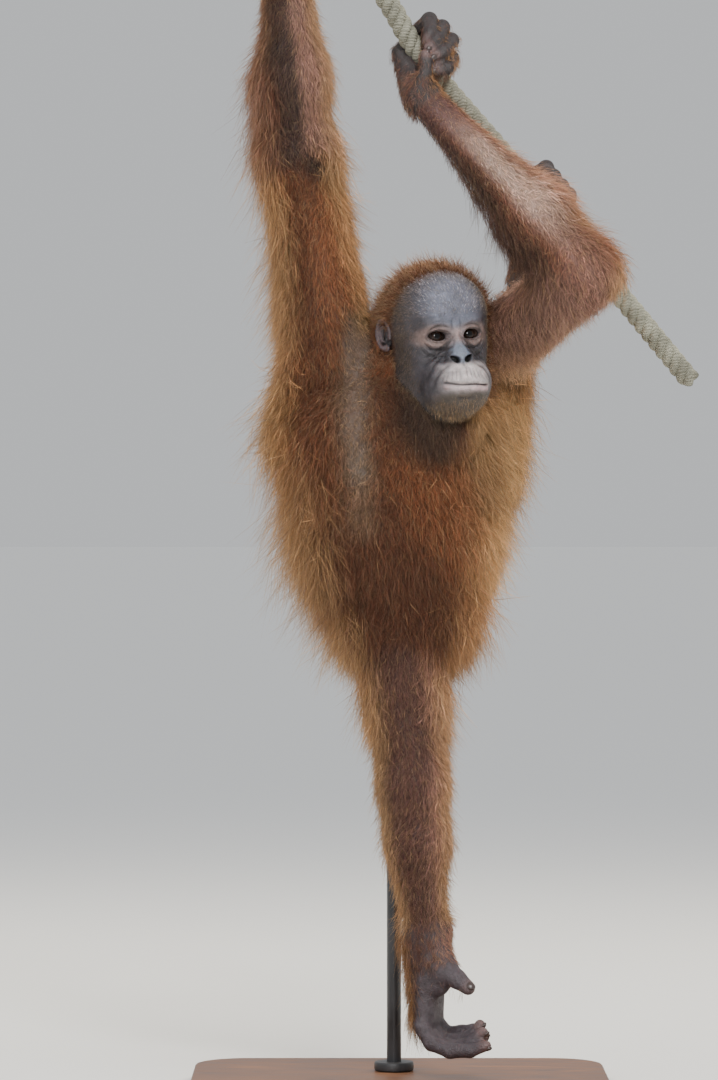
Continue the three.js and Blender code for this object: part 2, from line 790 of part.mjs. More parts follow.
const neckSleeve = (height) =>
  sleeve({
    form: NECK,
    height,
    spine: [at(16, 8, 800), at(30, -18, 790), at(40, -40, 770)],
    rings: 3,
    sides: 14,
    reach: 90,
    tilts: [35],
  });

// Hands and feet.

// Digits and the flat of a hand or foot as rods and tubes, fused.
function digit(points, radii) {
  return tube(points, radii, 5, 4, at(0.3, 0.2, 0.93));
}

// A point beside the rope: along it, and at a turn about it from its upper right towards the viewer.
function beside(grip, along, degrees, distance) {
  const rise = at(-grip.along.z, 0, grip.along.x).normalize();
  const near = grip.along.clone().cross(rise);
  const turn = THREE.MathUtils.degToRad(degrees);
  return grip.middle
    .clone()
    .addScaledVector(grip.along, along)
    .addScaledVector(rise, Math.cos(turn) * distance)
    .addScaledVector(near, Math.sin(turn) * distance);
}

const LEFT_FINGERS = [
  [at(0, -22, 1142), at(14, -13, 1162), at(32, -27, 1178), at(33, -44, 1164), at(29, -47, 1152)],
  [at(3, -20, 1134), at(21, -8, 1154), at(46, -25, 1170), at(40, -48, 1155), at(31, -53, 1144)],
  [at(8, -18, 1126), at(30, -5, 1143), at(56, -22, 1156), at(47, -51, 1141), at(36, -57, 1135)],
  [at(13, -16, 1118), at(36, -3, 1130), at(56, -20, 1137), at(50, -50, 1123), at(38, -54, 1120)],
];
const FINGER_RADII = [9, 8.2, 8.4, 7.6, 6];
const leftPalm = together(
  12,
  bone(JOINT.leftWrist, LEFT_FINGERS[0][0], 16, 9),
  bone(JOINT.leftWrist, LEFT_FINGERS[2][0], 16, 9),
  bone(JOINT.leftWrist, LEFT_FINGERS[3][0], 16, 9),
  bone(JOINT.leftWrist, at(24, -62, 1108), 15, 8),
);
const leftHand = fuse([
  sleeve({
    form: leftPalm,
    height: 0,
    spine: [at(26, -51, 1088), at(18, -43, 1108), at(8, -28, 1128)],
    rings: 3,
    sides: 9,
    reach: 50,
  }),
  ...LEFT_FINGERS.map((points) => digit(points, FINGER_RADII)),
  digit(
    [at(22, -60, 1104), at(27, -66, 1116), at(28, -64, 1128), at(27, -62, 1137)],
    [8, 6.6, 6, 5.2],
  ),
]);

const RIGHT_FINGERS = [21, 7, -7, -20].map((along, i) => [
  beside(RIGHT_GRIP, along * 0.8, 238, 23),
  beside(RIGHT_GRIP, along, 290, 21),
  beside(RIGHT_GRIP, along, 350, 30),
  beside(RIGHT_GRIP, along, 40, 29),
  beside(RIGHT_GRIP, along * 0.9, [92, 96, 94, 84][i], 21),
]);
const rightPalm = together(
  12,
  bone(JOINT.rightWrist, RIGHT_FINGERS[0][0], 16, 9),
  bone(JOINT.rightWrist, RIGHT_FINGERS[2][0], 16, 9),
  bone(JOINT.rightWrist, RIGHT_FINGERS[3][0], 16, 9),
);
const rightHand = fuse([
  sleeve({
    form: rightPalm,
    height: 0,
    spine: [at(-130, -95, 1286), at(-138, -88, 1325), at(-146, -84, 1356)],
    rings: 3,
    sides: 9,
    reach: 50,
  }),
  ...RIGHT_FINGERS.map((points) => digit(points, FINGER_RADII)),
  digit(
    [at(-124, -100, 1306), at(-114, -114, 1322), at(-112, -121, 1338), at(-117, -122, 1350)],
    [9, 7, 6, 5.2],
  ),
]);

// The foot that grips the rope behind the forearm.
const LEFT_TOES = [-20, -7, 7, 20].map((along, i) => [
  beside(LEFT_FOOT_GRIP, along * 0.8, 248, 22),
  beside(LEFT_FOOT_GRIP, along, 300, 22),
  beside(LEFT_FOOT_GRIP, along, 350, 27),
  beside(LEFT_FOOT_GRIP, along, 35, 26),
  beside(LEFT_FOOT_GRIP, along * 0.95, [78, 84, 82, 74][i], 20),
]);
const leftSole = together(
  12,
  bone(JOINT.leftAnkle, LEFT_TOES[0][0], 18, 9),
  bone(JOINT.leftAnkle, LEFT_TOES[2][0], 18, 9),
  bone(JOINT.leftAnkle, LEFT_TOES[3][0], 18, 9),
  bone(JOINT.leftAnkle, at(143, 66, 886), 17, 15),
);
const leftFoot = fuse([
  sleeve({
    form: leftSole,
    height: 0,
    spine: [at(144, 94, 898), at(145, 76, 932), at(145, 52, 968)],
    rings: 4,
    sides: 9,
    reach: 50,
  }),
  ...LEFT_TOES.map((points) => digit(points, FINGER_RADII)),
  digit(
    [at(142, 72, 934), at(132, 48, 950), at(138, 22, 962), at(150, 2, 973)],
    [11, 8.5, 7.5, 6.5],
  ),
]);

// The foot that hangs, with its sole towards +X and its toes curled that way.
const SOLE = at(0.9, -0.435, 0);
const SPREAD = at(0.435, 0.9, 0);
const onFoot = (spread, sole, z) =>
  at(31, 6, z).addScaledVector(SPREAD, spread).addScaledVector(SOLE, sole);
const RIGHT_TOES = [
  [onFoot(-19, 0, 76), onFoot(-19, 13, 57), onFoot(-18, 35, 50), onFoot(-16, 58, 51), onFoot(-14, 76, 57)],
  [onFoot(-6.5, 0, 73), onFoot(-6.5, 14, 56), onFoot(-6, 35, 52), onFoot(-5, 55, 58), onFoot(-4, 68, 70)],
  [onFoot(6.5, 0, 73), onFoot(6.5, 14, 58), onFoot(6, 34, 58), onFoot(6, 52, 65), onFoot(6, 60, 77)],
  [onFoot(19, 0, 78), onFoot(19, 14, 64), onFoot(19, 32, 66), onFoot(18, 47, 69), onFoot(17, 60, 63)],
];
const rightSole = together(
  14,
  bone(JOINT.rightAnkle, onFoot(-15, 1, 80), 19, 10),
  bone(JOINT.rightAnkle, onFoot(0, 0, 78), 19, 10),
  bone(JOINT.rightAnkle, onFoot(15, 1, 82), 19, 10),
  bone(JOINT.rightAnkle, onFoot(0, 20, 182), 18, 14),
  bone(onFoot(-10, 6, 128), onFoot(-14, 22, 118), 12, 8),
);
const rightFoot = fuse([
  sleeve({
    form: rightSole,
    height: 0,
    spine: [at(29, 4, 176), at(30, 5, 130), at(31, 6, 84)],
    rings: 6,
    sides: 10,
    reach: 50,
  }),
  ...RIGHT_TOES.map((points) => digit(points, FINGER_RADII)),
  digit(
    [onFoot(-12, 4, 146), onFoot(-16, 22, 141), onFoot(-18, 38, 131), onFoot(-19, 50, 122)],
    [13, 11.5, 9.5, 8.5],
  ),
]);

// Rope and stand.

const ropeCurve = new THREE.CatmullRomCurve3(ROPE.path, false, "centripetal");
function rope() {
  const frames = framesAlong(ROPE.path, ROPE.rings, at(0, 1, 0));
  const length = ropeCurve.getLength();
  const sides = 6;
  const layers = frames.map((frame, i) => {
    const twist = (2 * Math.PI * length * i) / ROPE.rings / ROPE.lay;
    return Array.from({ length: sides }, (_, side) => {
      const turn = (2 * Math.PI * side) / sides + twist;
      const radius = side % 2 === 0 ? ROPE.radius - ROPE.hollow : ROPE.radius;
      return frame.middle
        .clone()
        .addScaledVector(frame.side, Math.cos(turn) * radius)
        .addScaledVector(frame.rise, Math.sin(turn) * radius);
    });
  });
  return solid(closedRings(frames[0].middle, layers, frames[ROPE.rings].middle));
}

// A smooth rod round a part of the rope, to keep hands and feet clear of it.
function ropeClear(from, to) {
  const points = Array.from({ length: 7 }, (_, i) => ropeCurve.getPointAt(from + ((to - from) * i) / 6));
  return tube(points, [1, 1].map(() => ROPE.radius + 2 * GAP), 12, 6, at(0, 1, 0));
}

function standBase() {
  const half = [BASE.width / 2 - BASE.bevel, BASE.depth / 2 - BASE.bevel];
  const shape = new THREE.Shape();
  const [x, y] = half;
  const corner = BASE.corner;
  shape.moveTo(-x + corner, -y);
  shape.lineTo(x - corner, -y);
  shape.absarc(x - corner, -y + corner, corner, -Math.PI / 2, 0);
  shape.lineTo(x, y - corner);
  shape.absarc(x - corner, y - corner, corner, 0, Math.PI / 2);
  shape.lineTo(-x + corner, y);
  shape.absarc(-x + corner, y - corner, corner, Math.PI / 2, Math.PI);
  shape.lineTo(-x, -y + corner);
  shape.absarc(-x + corner, -y + corner, corner, Math.PI, 1.5 * Math.PI);
  const plate = new THREE.ExtrudeGeometry(shape, {
    depth: BASE.height - BASE.bevel,
    bevelEnabled: true,
    bevelThickness: BASE.bevel,
    bevelSize: BASE.bevel,
    bevelSegments: 1,
    curveSegments: 5,
  });
  return solid(plate).trimByPlane([0, 0, 1], 0);
}

function upright(radius, from, to, sides) {
  const ring = (z) =>
    Array.from({ length: sides }, (_, side) => {
      const turn = (2 * Math.PI * side) / sides;
      return at(ROD.x + radius * Math.cos(turn), ROD.y + radius * Math.sin(turn), z);
    });
  return solid(closedRings(at(ROD.x, ROD.y, from), [ring(from), ring(to)], at(ROD.x, ROD.y, to)));
}

function standCollar() {
  const from = BASE.height + GAP;
  const sides = 20;
  const bore = upright(ROD.radius + GAP, from - 9, from + ROD.collarHeight + 9, 14);
  return upright(ROD.collarRadius, from, from + ROD.collarHeight, sides).subtract(bore);
}

// Parts, each clear of its neighbours.

const less = (made, ...cuts) => cuts.reduce((rest, cut) => rest.subtract(cut), made);

const stumps = [rightArm, leftArm, rightLeg, leftLeg].map((part) => part.stump);
const body = fuse([torsoSleeve(COAT.torso.core), ...stumps, ...torsoLocks]);
const torso = less(body, neckSleeve(COAT.neck.core + GAP), headClear, earRoom(1));
const neck = less(neckSleeve(COAT.neck.core), headClear, earRoom(1), earRoom(-1), torso);
const beyondEnd = (made, name) => {
  const { joints, endCut } = LIMBS[name];
  const run = joints[2].clone().sub(joints[1]).normalize();
  return cutAcross(made, joints[2].clone().addScaledVector(run, -endCut), run)[1];
};
const baseTop = BASE.height + GAP;

const orangutan = new THREE.Group();
orangutan.add(
  node("torso", torso, FUR),
  node("neck", neck, FUR),
  node("head", head, SKIN),
  node("ear_right", less(earShell(-1), headClear, torso, neck), SKIN),
  node("ear_left", less(earShell(1), headClear, torso, neck), SKIN),
  node("eye_right", ball(eyeMiddle(-1), EYES.radius, EYES.columns, EYES.rows), EYE),
  node("eye_left", ball(eyeMiddle(1), EYES.radius, EYES.columns, EYES.rows), EYE),
  node("upper_arm_right", less(rightArm.upper, torsoClear, torso), FUR),
  node("forearm_right", rightArm.lower, FUR),
  node("hand_right", less(beyondEnd(rightHand, "rightArm"), ropeClear(0, 0.2)), SKIN),
  node("upper_arm_left", less(leftArm.upper, torsoClear, torso, headClear, earRoom(1)), FUR),
  node("forearm_left", leftArm.lower, FUR),
  node("hand_left", less(beyondEnd(leftHand, "leftArm"), ropeClear(0.3, 0.52)), SKIN),
  node("thigh_right", less(rightLeg.upper, torsoClear, torso), FUR),
  node("shin_right", rightLeg.lower, FUR),
  node("foot_right", beyondEnd(rightFoot, "rightLeg"), SKIN),
  node("thigh_left", less(leftLeg.upper, torsoClear, torso), FUR),
  node("shin_left", leftLeg.lower, FUR),
  node("foot_left", less(beyondEnd(leftFoot, "leftLeg"), ropeClear(0.5, 0.8)), SKIN),
  node("rope", rope(), FIBRE),
  node("stand_base", standBase(), PAINT),
  node("stand_collar", standCollar(), PAINT),
  node("stand_rod", less(upright(ROD.radius, baseTop, ROD.top, 14), torsoClear), PAINT),
);

export default orangutan;
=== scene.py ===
"""The looks of a young orangutan that hangs from a rope, on its display stand."""

import logging
import math
from dataclasses import dataclass, field
from enum import Enum

import bmesh
import bpy
import numpy as np
from mathutils import Matrix, Vector
from mathutils.kdtree import KDTree


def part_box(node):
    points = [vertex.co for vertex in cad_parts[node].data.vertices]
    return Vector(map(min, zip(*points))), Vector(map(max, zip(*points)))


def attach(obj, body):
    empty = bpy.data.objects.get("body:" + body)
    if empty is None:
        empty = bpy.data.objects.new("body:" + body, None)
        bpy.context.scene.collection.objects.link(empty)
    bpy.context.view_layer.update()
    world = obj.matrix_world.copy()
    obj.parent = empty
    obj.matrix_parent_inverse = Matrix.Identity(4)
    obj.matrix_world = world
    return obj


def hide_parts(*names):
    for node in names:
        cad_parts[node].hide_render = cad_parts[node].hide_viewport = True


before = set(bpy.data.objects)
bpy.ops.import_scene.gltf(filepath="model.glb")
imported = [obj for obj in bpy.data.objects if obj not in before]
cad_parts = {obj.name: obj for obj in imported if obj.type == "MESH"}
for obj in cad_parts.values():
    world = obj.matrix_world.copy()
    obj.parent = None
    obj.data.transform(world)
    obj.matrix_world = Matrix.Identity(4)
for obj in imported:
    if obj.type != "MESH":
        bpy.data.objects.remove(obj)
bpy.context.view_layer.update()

log = logging.getLogger("orangutan")
logging.basicConfig(level=logging.INFO, format="%(message)s")

Points = np.ndarray
UP = np.array((0.0, 0.0, 1.0))
DOWN = -UP


def mm(x: float, y: float, z: float) -> Points:
    """A point given in millimetres, as metres."""
    return np.array((x, y, z), float) / 1000


def unit(v: Points) -> Points:
    """Each row of v at length one."""
    return v / np.maximum(np.linalg.norm(v, axis=-1, keepdims=True), 1e-9)


def ease(x: Points, low: float, high: float) -> Points:
    """0 below low, 1 above high, and a smooth step between them."""
    t = np.clip((x - low) / (high - low), 0, 1)
    return t * t * (3 - 2 * t)


def off_spot(p: Points, spot: Points) -> Points:
    """How far each point lies from a place, in millimetres."""
    return np.linalg.norm(p - spot, axis=1) * 1000


def run_along(path: Points) -> Points:
    """How far along a path each of its points lies."""
    return np.concatenate([[0], np.cumsum(np.linalg.norm(np.diff(path, axis=0), axis=1))])


def melt(a: Points, b: Points, fillet: float) -> Points:
    """The distance from two shapes that run together, with a fillet of about the given width."""
    close = np.maximum(fillet - np.abs(a - b), 0) / fillet
    return np.minimum(a, b) - close * close * fillet / 4


@dataclass(frozen=True)
class Facing:
    """Three directions of a part that is turned about Z and rolled about its own front."""

    left: Points
    front: Points
    up: Points
    middle: Points

    @classmethod
    def turned(cls, degrees: float, roll: float = 0.0, middle: Points = np.zeros(3)) -> "Facing":
        """The directions after a turn from -Y towards +X.

        Args:
            degrees: The turn about Z.
            roll: The roll about the front, which lifts the left side.
            middle: The part's own middle.

        Returns:
            The part's directions.
        """
        turn = Matrix.Rotation(math.radians(degrees), 3, "Z")
        front = turn @ Vector((0, -1, 0))
        tilt = Matrix.Rotation(math.radians(roll), 3, front)
        left = tilt @ Vector((0, 0, 1)).cross(front)
        up = -left.cross(front)
        return cls(np.array(left), np.array(front), np.array(up), middle)

    def place(self, left: float, front: float, up: float) -> Points:
        """A point in millimetres along these directions, as a place in the model."""
        return self.middle + (self.left * left + self.front * front + self.up * up) / 1000

    def local(self, p: Points) -> Points:
        """Points as millimetres along left, front and up."""
        q = (p - self.middle) * 1000
        return np.stack([q @ self.left, q @ self.front, q @ self.up], axis=-1)

    def matrix(self, middle: Points, sizes: tuple[float, float, float]) -> Matrix:
        """The matrix that takes a ball of radius one to an egg with these half sizes."""
        columns = [Vector(axis * size) for axis, size in zip((self.left, self.front, self.up), sizes)]
        turn = Matrix((columns[0], columns[1], columns[2])).transposed().to_4x4()
        return Matrix.Translation(Vector(middle)) @ turn


CHEST = Facing.turned(25)
HEAD = Facing.turned(18, 5, mm(39.5, -42, 838))


class Form:
    """A solid shape that tells how far a point lies from its surface, below zero inside."""

    def distance(self, p: Points) -> Points:
        """The distance of each point from the surface."""
        raise NotImplementedError

    def add_to(self, bm: bmesh.types.BMesh) -> None:
        """Adds a rough closed mesh of the shape."""
        raise NotImplementedError

    def outward(self, p: Points, step: float = 0.0006) -> tuple[Points, Points]:
        """The direction out of the shape, and the distance, at each point.

        Args:
            p: The points.
            step: How far apart the distances are compared.

        Returns:
            Directions of length one, and distances.
        """
        here = self.distance(p)
        slope = np.stack([self.distance(p + axis) - here for axis in np.eye(3) * step], axis=-1)
        return unit(slope), here

    def settle(self, p: Points, rounds: int, limit: float) -> Points:
        """Moves points to the surface, nine tenths of the way in each round.

        Args:
            p: The points.
            rounds: How many moves each point makes.
            limit: The longest single move.

        Returns:
            The moved points.
        """
        for _ in range(rounds):
            out, far = self.outward(p)
            p = p - out * np.clip(far, -limit, limit)[:, None] * 0.9
        return p


@dataclass(frozen=True)
class Bone(Form):
    """A round rod that may taper."""

    start: Points
    end: Points
    start_radius: float
    end_radius: float

    def distance(self, p: Points) -> Points:
        """The distance of each point from the rod."""
        span = self.end - self.start
        share = np.clip((p - self.start) @ span / max(span @ span, 1e-12), 0, 1)
        away = np.linalg.norm(p - self.start - share[:, None] * span, axis=1)
        return away - (self.start_radius + (self.end_radius - self.start_radius) * share)

    def add_to(self, bm: bmesh.types.BMesh) -> None:
        """Adds a cone and a ball at each end."""
        run = Vector(self.end - self.start)
        turn = run.to_track_quat("Z", "Y").to_matrix().to_4x4()
        middle = Matrix.Translation(Vector((self.start + self.end) / 2)) @ turn
        bmesh.ops.create_cone(
            bm,
            cap_ends=True,
            segments=16,
            radius1=self.start_radius,
            radius2=self.end_radius,
            depth=run.length,
            matrix=middle,
        )
        for spot, radius in ((self.start, self.start_radius), (self.end, self.end_radius)):
            place = Matrix.Translation(Vector(spot))
            bmesh.ops.create_icosphere(bm, subdivisions=2, radius=radius * 1.03, matrix=place)


@dataclass(frozen=True)
class Egg(Form):
    """An egg with half sizes along a part's left, front and up."""

    middle: Points
    sizes: tuple[float, float, float]
    facing: Facing

    def distance(self, p: Points) -> Points:
        """About how far each point lies from the egg."""
        q = p - self.middle
        wide, deep, high = self.sizes
        x = q @ self.facing.left / wide
        y = q @ self.facing.front / deep
        z = q @ self.facing.up / high
        share = np.sqrt(x * x + y * y + z * z)
        slope = np.sqrt((x / wide) ** 2 + (y / deep) ** 2 + (z / high) ** 2)
        return np.where(slope > 1e-6, share * (share - 1) / np.maximum(slope, 1e-6), -min(self.sizes))

    def add_to(self, bm: bmesh.types.BMesh) -> None:
        """Adds a ball that is stretched to the egg."""
        place = self.facing.matrix(self.middle, self.sizes)
        bmesh.ops.create_icosphere(bm, subdivisions=4, radius=1, matrix=place)


@dataclass(frozen=True)
class Together(Form):
    """Forms that run together, with a fillet of about the given width."""

    fillet: float
    forms: tuple[Form, ...]

    def distance(self, p: Points) -> Points:
        """The distance of each point from the joined forms."""
        joined = self.forms[0].distance(p)
        for form in self.forms[1:]:
            joined = melt(joined, form.distance(p), self.fillet)
        return joined

    def add_to(self, bm: bmesh.types.BMesh) -> None:
        """Adds every form."""
        for form in self.forms:
            form.add_to(bm)


@dataclass(frozen=True)
class Without(Form):
    """A form with another pressed out of it, with a soft edge."""

    form: Form
    hollow: Form
    soft: float

    def distance(self, p: Points) -> Points:
        """The distance of each point from what is left."""
        return -melt(-self.form.distance(p), self.hollow.distance(p), self.soft)

    def add_to(self, bm: bmesh.types.BMesh) -> None:
        """Adds the form alone."""
        self.form.add_to(bm)


@dataclass(frozen=True)
class Near(Form):
    """A form that is only measured for points within a box round it, to save time."""

    form: Form
    low: Points
    high: Points

    def distance(self, p: Points) -> Points:
        """The distance of each point, or about the distance from the box where it is far off."""
        off = np.linalg.norm(np.maximum(np.maximum(self.low - p, p - self.high), 0), axis=1)
        far = off + 0.02
        close = off < 0.012
        if close.any():
            far[close] = self.form.distance(p[close])
        return far

    def add_to(self, bm: bmesh.types.BMesh) -> None:
        """Adds the form."""
        self.form.add_to(bm)


def egg(middle: Points, sizes: tuple[float, float, float], facing: Facing) -> Egg:
    """An egg with its half sizes in millimetres."""
    return Egg(middle, tuple(size / 1000 for size in sizes), facing)


def bone(start: Points, end: Points, start_radius: float, end_radius: float) -> Bone:
    """A rod with its radii in millimetres."""
    return Bone(start, end, start_radius / 1000, end_radius / 1000)


def chain(spots: list[Points], radii: list[float], fillet: float = 3) -> Together:
    """Rods from spot to spot, with a radius at each in millimetres."""
    rods = [bone(*spots[i : i + 2], *radii[i : i + 2]) for i in range(len(spots) - 1)]
    return Together(fillet / 1000, tuple(rods))


def boxed(form: Form, spots: list[Points], room: float) -> Near:
    """A form with the box round its spots, with so many millimetres of room."""
    spread = np.array(spots)
    return Near(form, spread.min(0) - room / 1000, spread.max(0) + room / 1000)


@dataclass(frozen=True)
class Joints:
    """Where the limbs turn."""

    right_shoulder: Points = field(default_factory=lambda: mm(-74, -18, 822))
    right_elbow: Points = field(default_factory=lambda: mm(-110, -48, 1034))
    right_wrist: Points = field(default_factory=lambda: mm(-130, -95, 1290))
    left_shoulder: Points = field(default_factory=lambda: mm(100, 36, 818))
    left_elbow: Points = field(default_factory=lambda: mm(197, -108, 897))
    left_wrist: Points = field(default_factory=lambda: mm(24, -50, 1092))
    right_hip: Points = field(default_factory=lambda: mm(0, 4, 530))
    right_knee: Points = field(default_factory=lambda: mm(14, -12, 342))
    right_ankle: Points = field(default_factory=lambda: mm(29, 4, 174))
    left_hip: Points = field(default_factory=lambda: mm(60, 50, 572))
    left_knee: Points = field(default_factory=lambda: mm(98, 146, 742))
    left_ankle: Points = field(default_factory=lambda: mm(145, 92, 902))


JOINT = Joints()


class Part(Enum):
    """The regions of the body that differ in hair and colour."""

    TORSO = 0
    NECK = 1
    HEAD = 2
    RIGHT_ARM = 3
    LEFT_ARM = 4
    RIGHT_LEG = 5
    LEFT_LEG = 6
    RIGHT_HAND = 7
    LEFT_HAND = 8
    RIGHT_FOOT = 9
    LEFT_FOOT = 10
    EARS = 11


HANDS_AND_FEET = (Part.RIGHT_HAND, Part.LEFT_HAND, Part.RIGHT_FOOT, Part.LEFT_FOOT)


def is_on(part: Points, parts: tuple[Part, ...]) -> Points:
    """True where the part's number is that of one of these parts."""
    return np.isin(part, [one.value for one in parts])


@dataclass(frozen=True)
class RopeRun:
    """The run of the rope that the hands and the foot hold."""

    path: tuple[tuple[float, float, float], ...] = (
        (-172, -120, 1432),
        (-132, -100, 1372),
        (-9.5, -38, 1190),
        (9.6, -34, 1157),
        (25, -30, 1135),
        (49, -20, 1106),
        (121, 6, 1026),
        (240, 57, 888),
        (326, 93, 788),
    )

    def spots(self) -> Points:
        """The points of the path, in metres."""
        return np.array(self.path) / 1000

    def smooth(self, count: int) -> Points:
        """Evenly spaced points on one smooth curve through the path.

        Args:
            count: How many points.

        Returns:
            The points, one row each.
        """
        spots = self.spots()
        whole = np.vstack([2 * spots[0] - spots[1], spots, 2 * spots[-1] - spots[-2]])
        fine = []
        for i in range(1, len(whole) - 2):
            a, b, c, d = whole[i - 1 : i + 3]
            knots = np.cumsum([0, *(np.linalg.norm(q - p) ** 0.5 for p, q in ((a, b), (b, c), (c, d)))])
            t = np.linspace(knots[1], knots[2], 40, endpoint=i == len(whole) - 3)[:, None]

            def blend(p: Points, q: Points, low: int, high: int) -> Points:
                """The point between p and q at t."""
                return ((knots[high] - t) * p + (t - knots[low]) * q) / (knots[high] - knots[low])

            first = blend(blend(a, b, 0, 1), blend(b, c, 1, 2), 0, 2)
            second = blend(blend(b, c, 1, 2), blend(c, d, 2, 3), 1, 3)
            fine.append(blend(first, second, 1, 2))
        fine = np.vstack(fine)
        run = run_along(fine)
        even = np.linspace(0, run[-1], count)
        return np.stack([np.interp(even, run, fine[:, axis]) for axis in range(3)], axis=-1)


ROPE = RopeRun()


@dataclass(frozen=True)
class Grip:
    """A place on the rope that a hand or foot holds."""

    middle: Points
    along: Points

    def beside(self, along: float, degrees: float, distance: float) -> Points:
        """A point beside the rope, in millimetres along it, at a turn about it and a distance from it."""
        rise = unit(np.array((-self.along[2], 0, self.along[0])))
        near = np.cross(self.along, rise)
        turn = math.radians(degrees)
        aside = rise * math.cos(turn) * distance + near * math.sin(turn) * distance
        return self.middle + (self.along * along + aside) / 1000


RIGHT_GRIP = Grip(mm(-132, -100, 1372), unit(mm(122.5, 62, -182)))
LEFT_FOOT_GRIP = Grip(mm(155, 20.5, 987), unit(mm(119, 51, -138)))
SOLE = np.array((0.9, -0.435, 0))
SPREAD = np.array((0.435, 0.9, 0))


def on_foot(spread: float, sole: float, z: float) -> Points:
    """A place on the foot that hangs: across it, out from its sole, and its height, in millimetres."""
    return mm(31, 6, z) + (SPREAD * spread + SOLE * sole) / 1000


FINGER_RADII = [9, 8.2, 8.4, 7.6, 6]


@dataclass(frozen=True)
class Digit:
    """A finger or toe: its joints from the knuckle to the tip, and its radii there in millimetres."""

    spots: tuple[Points, ...]
    radii: tuple[float, ...]

    def form(self) -> Form:
        """The flesh of the digit, a little swollen at its joints."""
        return boxed(chain(list(self.spots), list(self.radii)), list(self.spots), 14)


def digits(rows: list[list[Points]], radii: list[float]) -> list[Digit]:
    """Several digits with the same radii."""
    return [Digit(tuple(row), tuple(radii)) for row in rows]


def round_rope(
    grip: Grip,
    rows: tuple[tuple[float, float], ...],
    joints: tuple[tuple[float, float], ...],
    tip: tuple[float, float],
) -> list[Digit]:
    """Four digits bent round the rope.

    Args:
        grip: The place that they hold.
        rows: For each digit, how far along the rope it lies and the turn of its tip.
        joints: For each joint from the knuckle on, its turn about the rope and its distance from it.
        tip: The share of the way along the rope at the tips, and their distance from it.

    Returns:
        The digits.
    """
    shares = (0.8, 1, 1, 1, tip[0])
    return digits(
        [
            [
                grip.beside(along * share, turn, reach)
                for share, (turn, reach) in zip(shares, (*joints, (end, tip[1])))
            ]
            for along, end in rows
        ],
        FINGER_RADII,
    )


LEFT_FINGERS = digits(
    [
        [mm(*spot) for spot in row]
        for row in (
            ((0, -22, 1142), (14, -13, 1162), (32, -27, 1178), (33, -44, 1164), (29, -47, 1152)),
            ((3, -20, 1134), (21, -8, 1154), (46, -25, 1170), (40, -48, 1155), (31, -53, 1144)),
            ((8, -18, 1126), (30, -5, 1143), (56, -22, 1156), (47, -51, 1141), (36, -57, 1135)),
            ((13, -16, 1118), (36, -3, 1130), (56, -20, 1137), (50, -50, 1123), (38, -54, 1120)),
        )
    ],
    FINGER_RADII,
)
LEFT_THUMB = Digit(
    (mm(22, -60, 1104), mm(27, -66, 1116), mm(28, -64, 1128), mm(27, -62, 1137)),
    (8, 6.6, 6, 5.2),
)
RIGHT_FINGERS = round_rope(
    RIGHT_GRIP,
    ((21, 92), (7, 96), (-7, 94), (-20, 84)),
    ((238, 23), (290, 21), (350, 30), (40, 29)),
    (0.9, 21),
)
RIGHT_THUMB = Digit(
    (mm(-124, -100, 1306), mm(-114, -114, 1322), mm(-112, -121, 1338), mm(-117, -122, 1350)),
    (9, 7, 6, 5.2),
)
LEFT_TOES = round_rope(
    LEFT_FOOT_GRIP,
    ((-20, 78), (-7, 84), (7, 82), (20, 74)),
    ((248, 22), (300, 22), (350, 27), (35, 26)),
    (0.95, 20),
)
LEFT_HALLUX = Digit(
    (mm(142, 72, 934), mm(132, 48, 950), mm(138, 22, 962), mm(150, 2, 973)),
    (11, 8.5, 7.5, 6.5),
)
RIGHT_TOES = digits(
    [
        [on_foot(*spot) for spot in row]
        for row in (
            ((-19, 0, 76), (-19, 13, 57), (-18, 35, 50), (-16, 58, 51), (-14, 76, 57)),
            ((-6.5, 0, 73), (-6.5, 14, 56), (-6, 35, 52), (-5, 55, 58), (-4, 68, 70)),
            ((6.5, 0, 73), (6.5, 14, 58), (6, 34, 58), (6, 52, 65), (6, 60, 77)),
            ((19, 0, 78), (19, 14, 64), (19, 32, 66), (18, 47, 69), (17, 60, 63)),
        )
    ],
    FINGER_RADII,
)
RIGHT_HALLUX = Digit(
    (on_foot(-12, 4, 146), on_foot(-16, 24, 140), on_foot(-18, 43, 129), on_foot(-19, 57, 120)),
    (15, 13, 10.5, 8),
)


def palm(wrist: Points, knuckles: list[Digit], extra: list[Form], wrist_radius: float) -> Form:
    """The flat of a hand or foot: rods from the wrist to the knuckles, run together."""
    rods = [bone(wrist, knuckles[i].spots[0], wrist_radius, 9) for i in (0, 2, 3)]
    spots = [wrist, *(digit.spots[0] for digit in knuckles)]
    return boxed(Together(0.012, (*rods, *extra)), spots, 45)


def arm(shoulder: Points, elbow: Points, wrist: Points) -> Form:
    """The flesh of an arm."""
    belly = elbow + (wrist - elbow) * 0.3
    rods = (bone(shoulder, elbow, 37, 30), bone(elbow, belly, 29, 31), bone(belly, wrist, 31, 17))
    return boxed(Together(0.026, rods), [shoulder, elbow, wrist], 72)


def leg(hip: Points, knee: Points, ankle: Points) -> Form:
    """The flesh of a leg."""
    calf = knee + (ankle - knee) * 0.35
    rods = (bone(hip, knee, 42, 30), bone(knee, calf, 30, 27), bone(calf, ankle, 27, 19))
    return boxed(Together(0.026, rods), [hip, knee, ankle], 76)


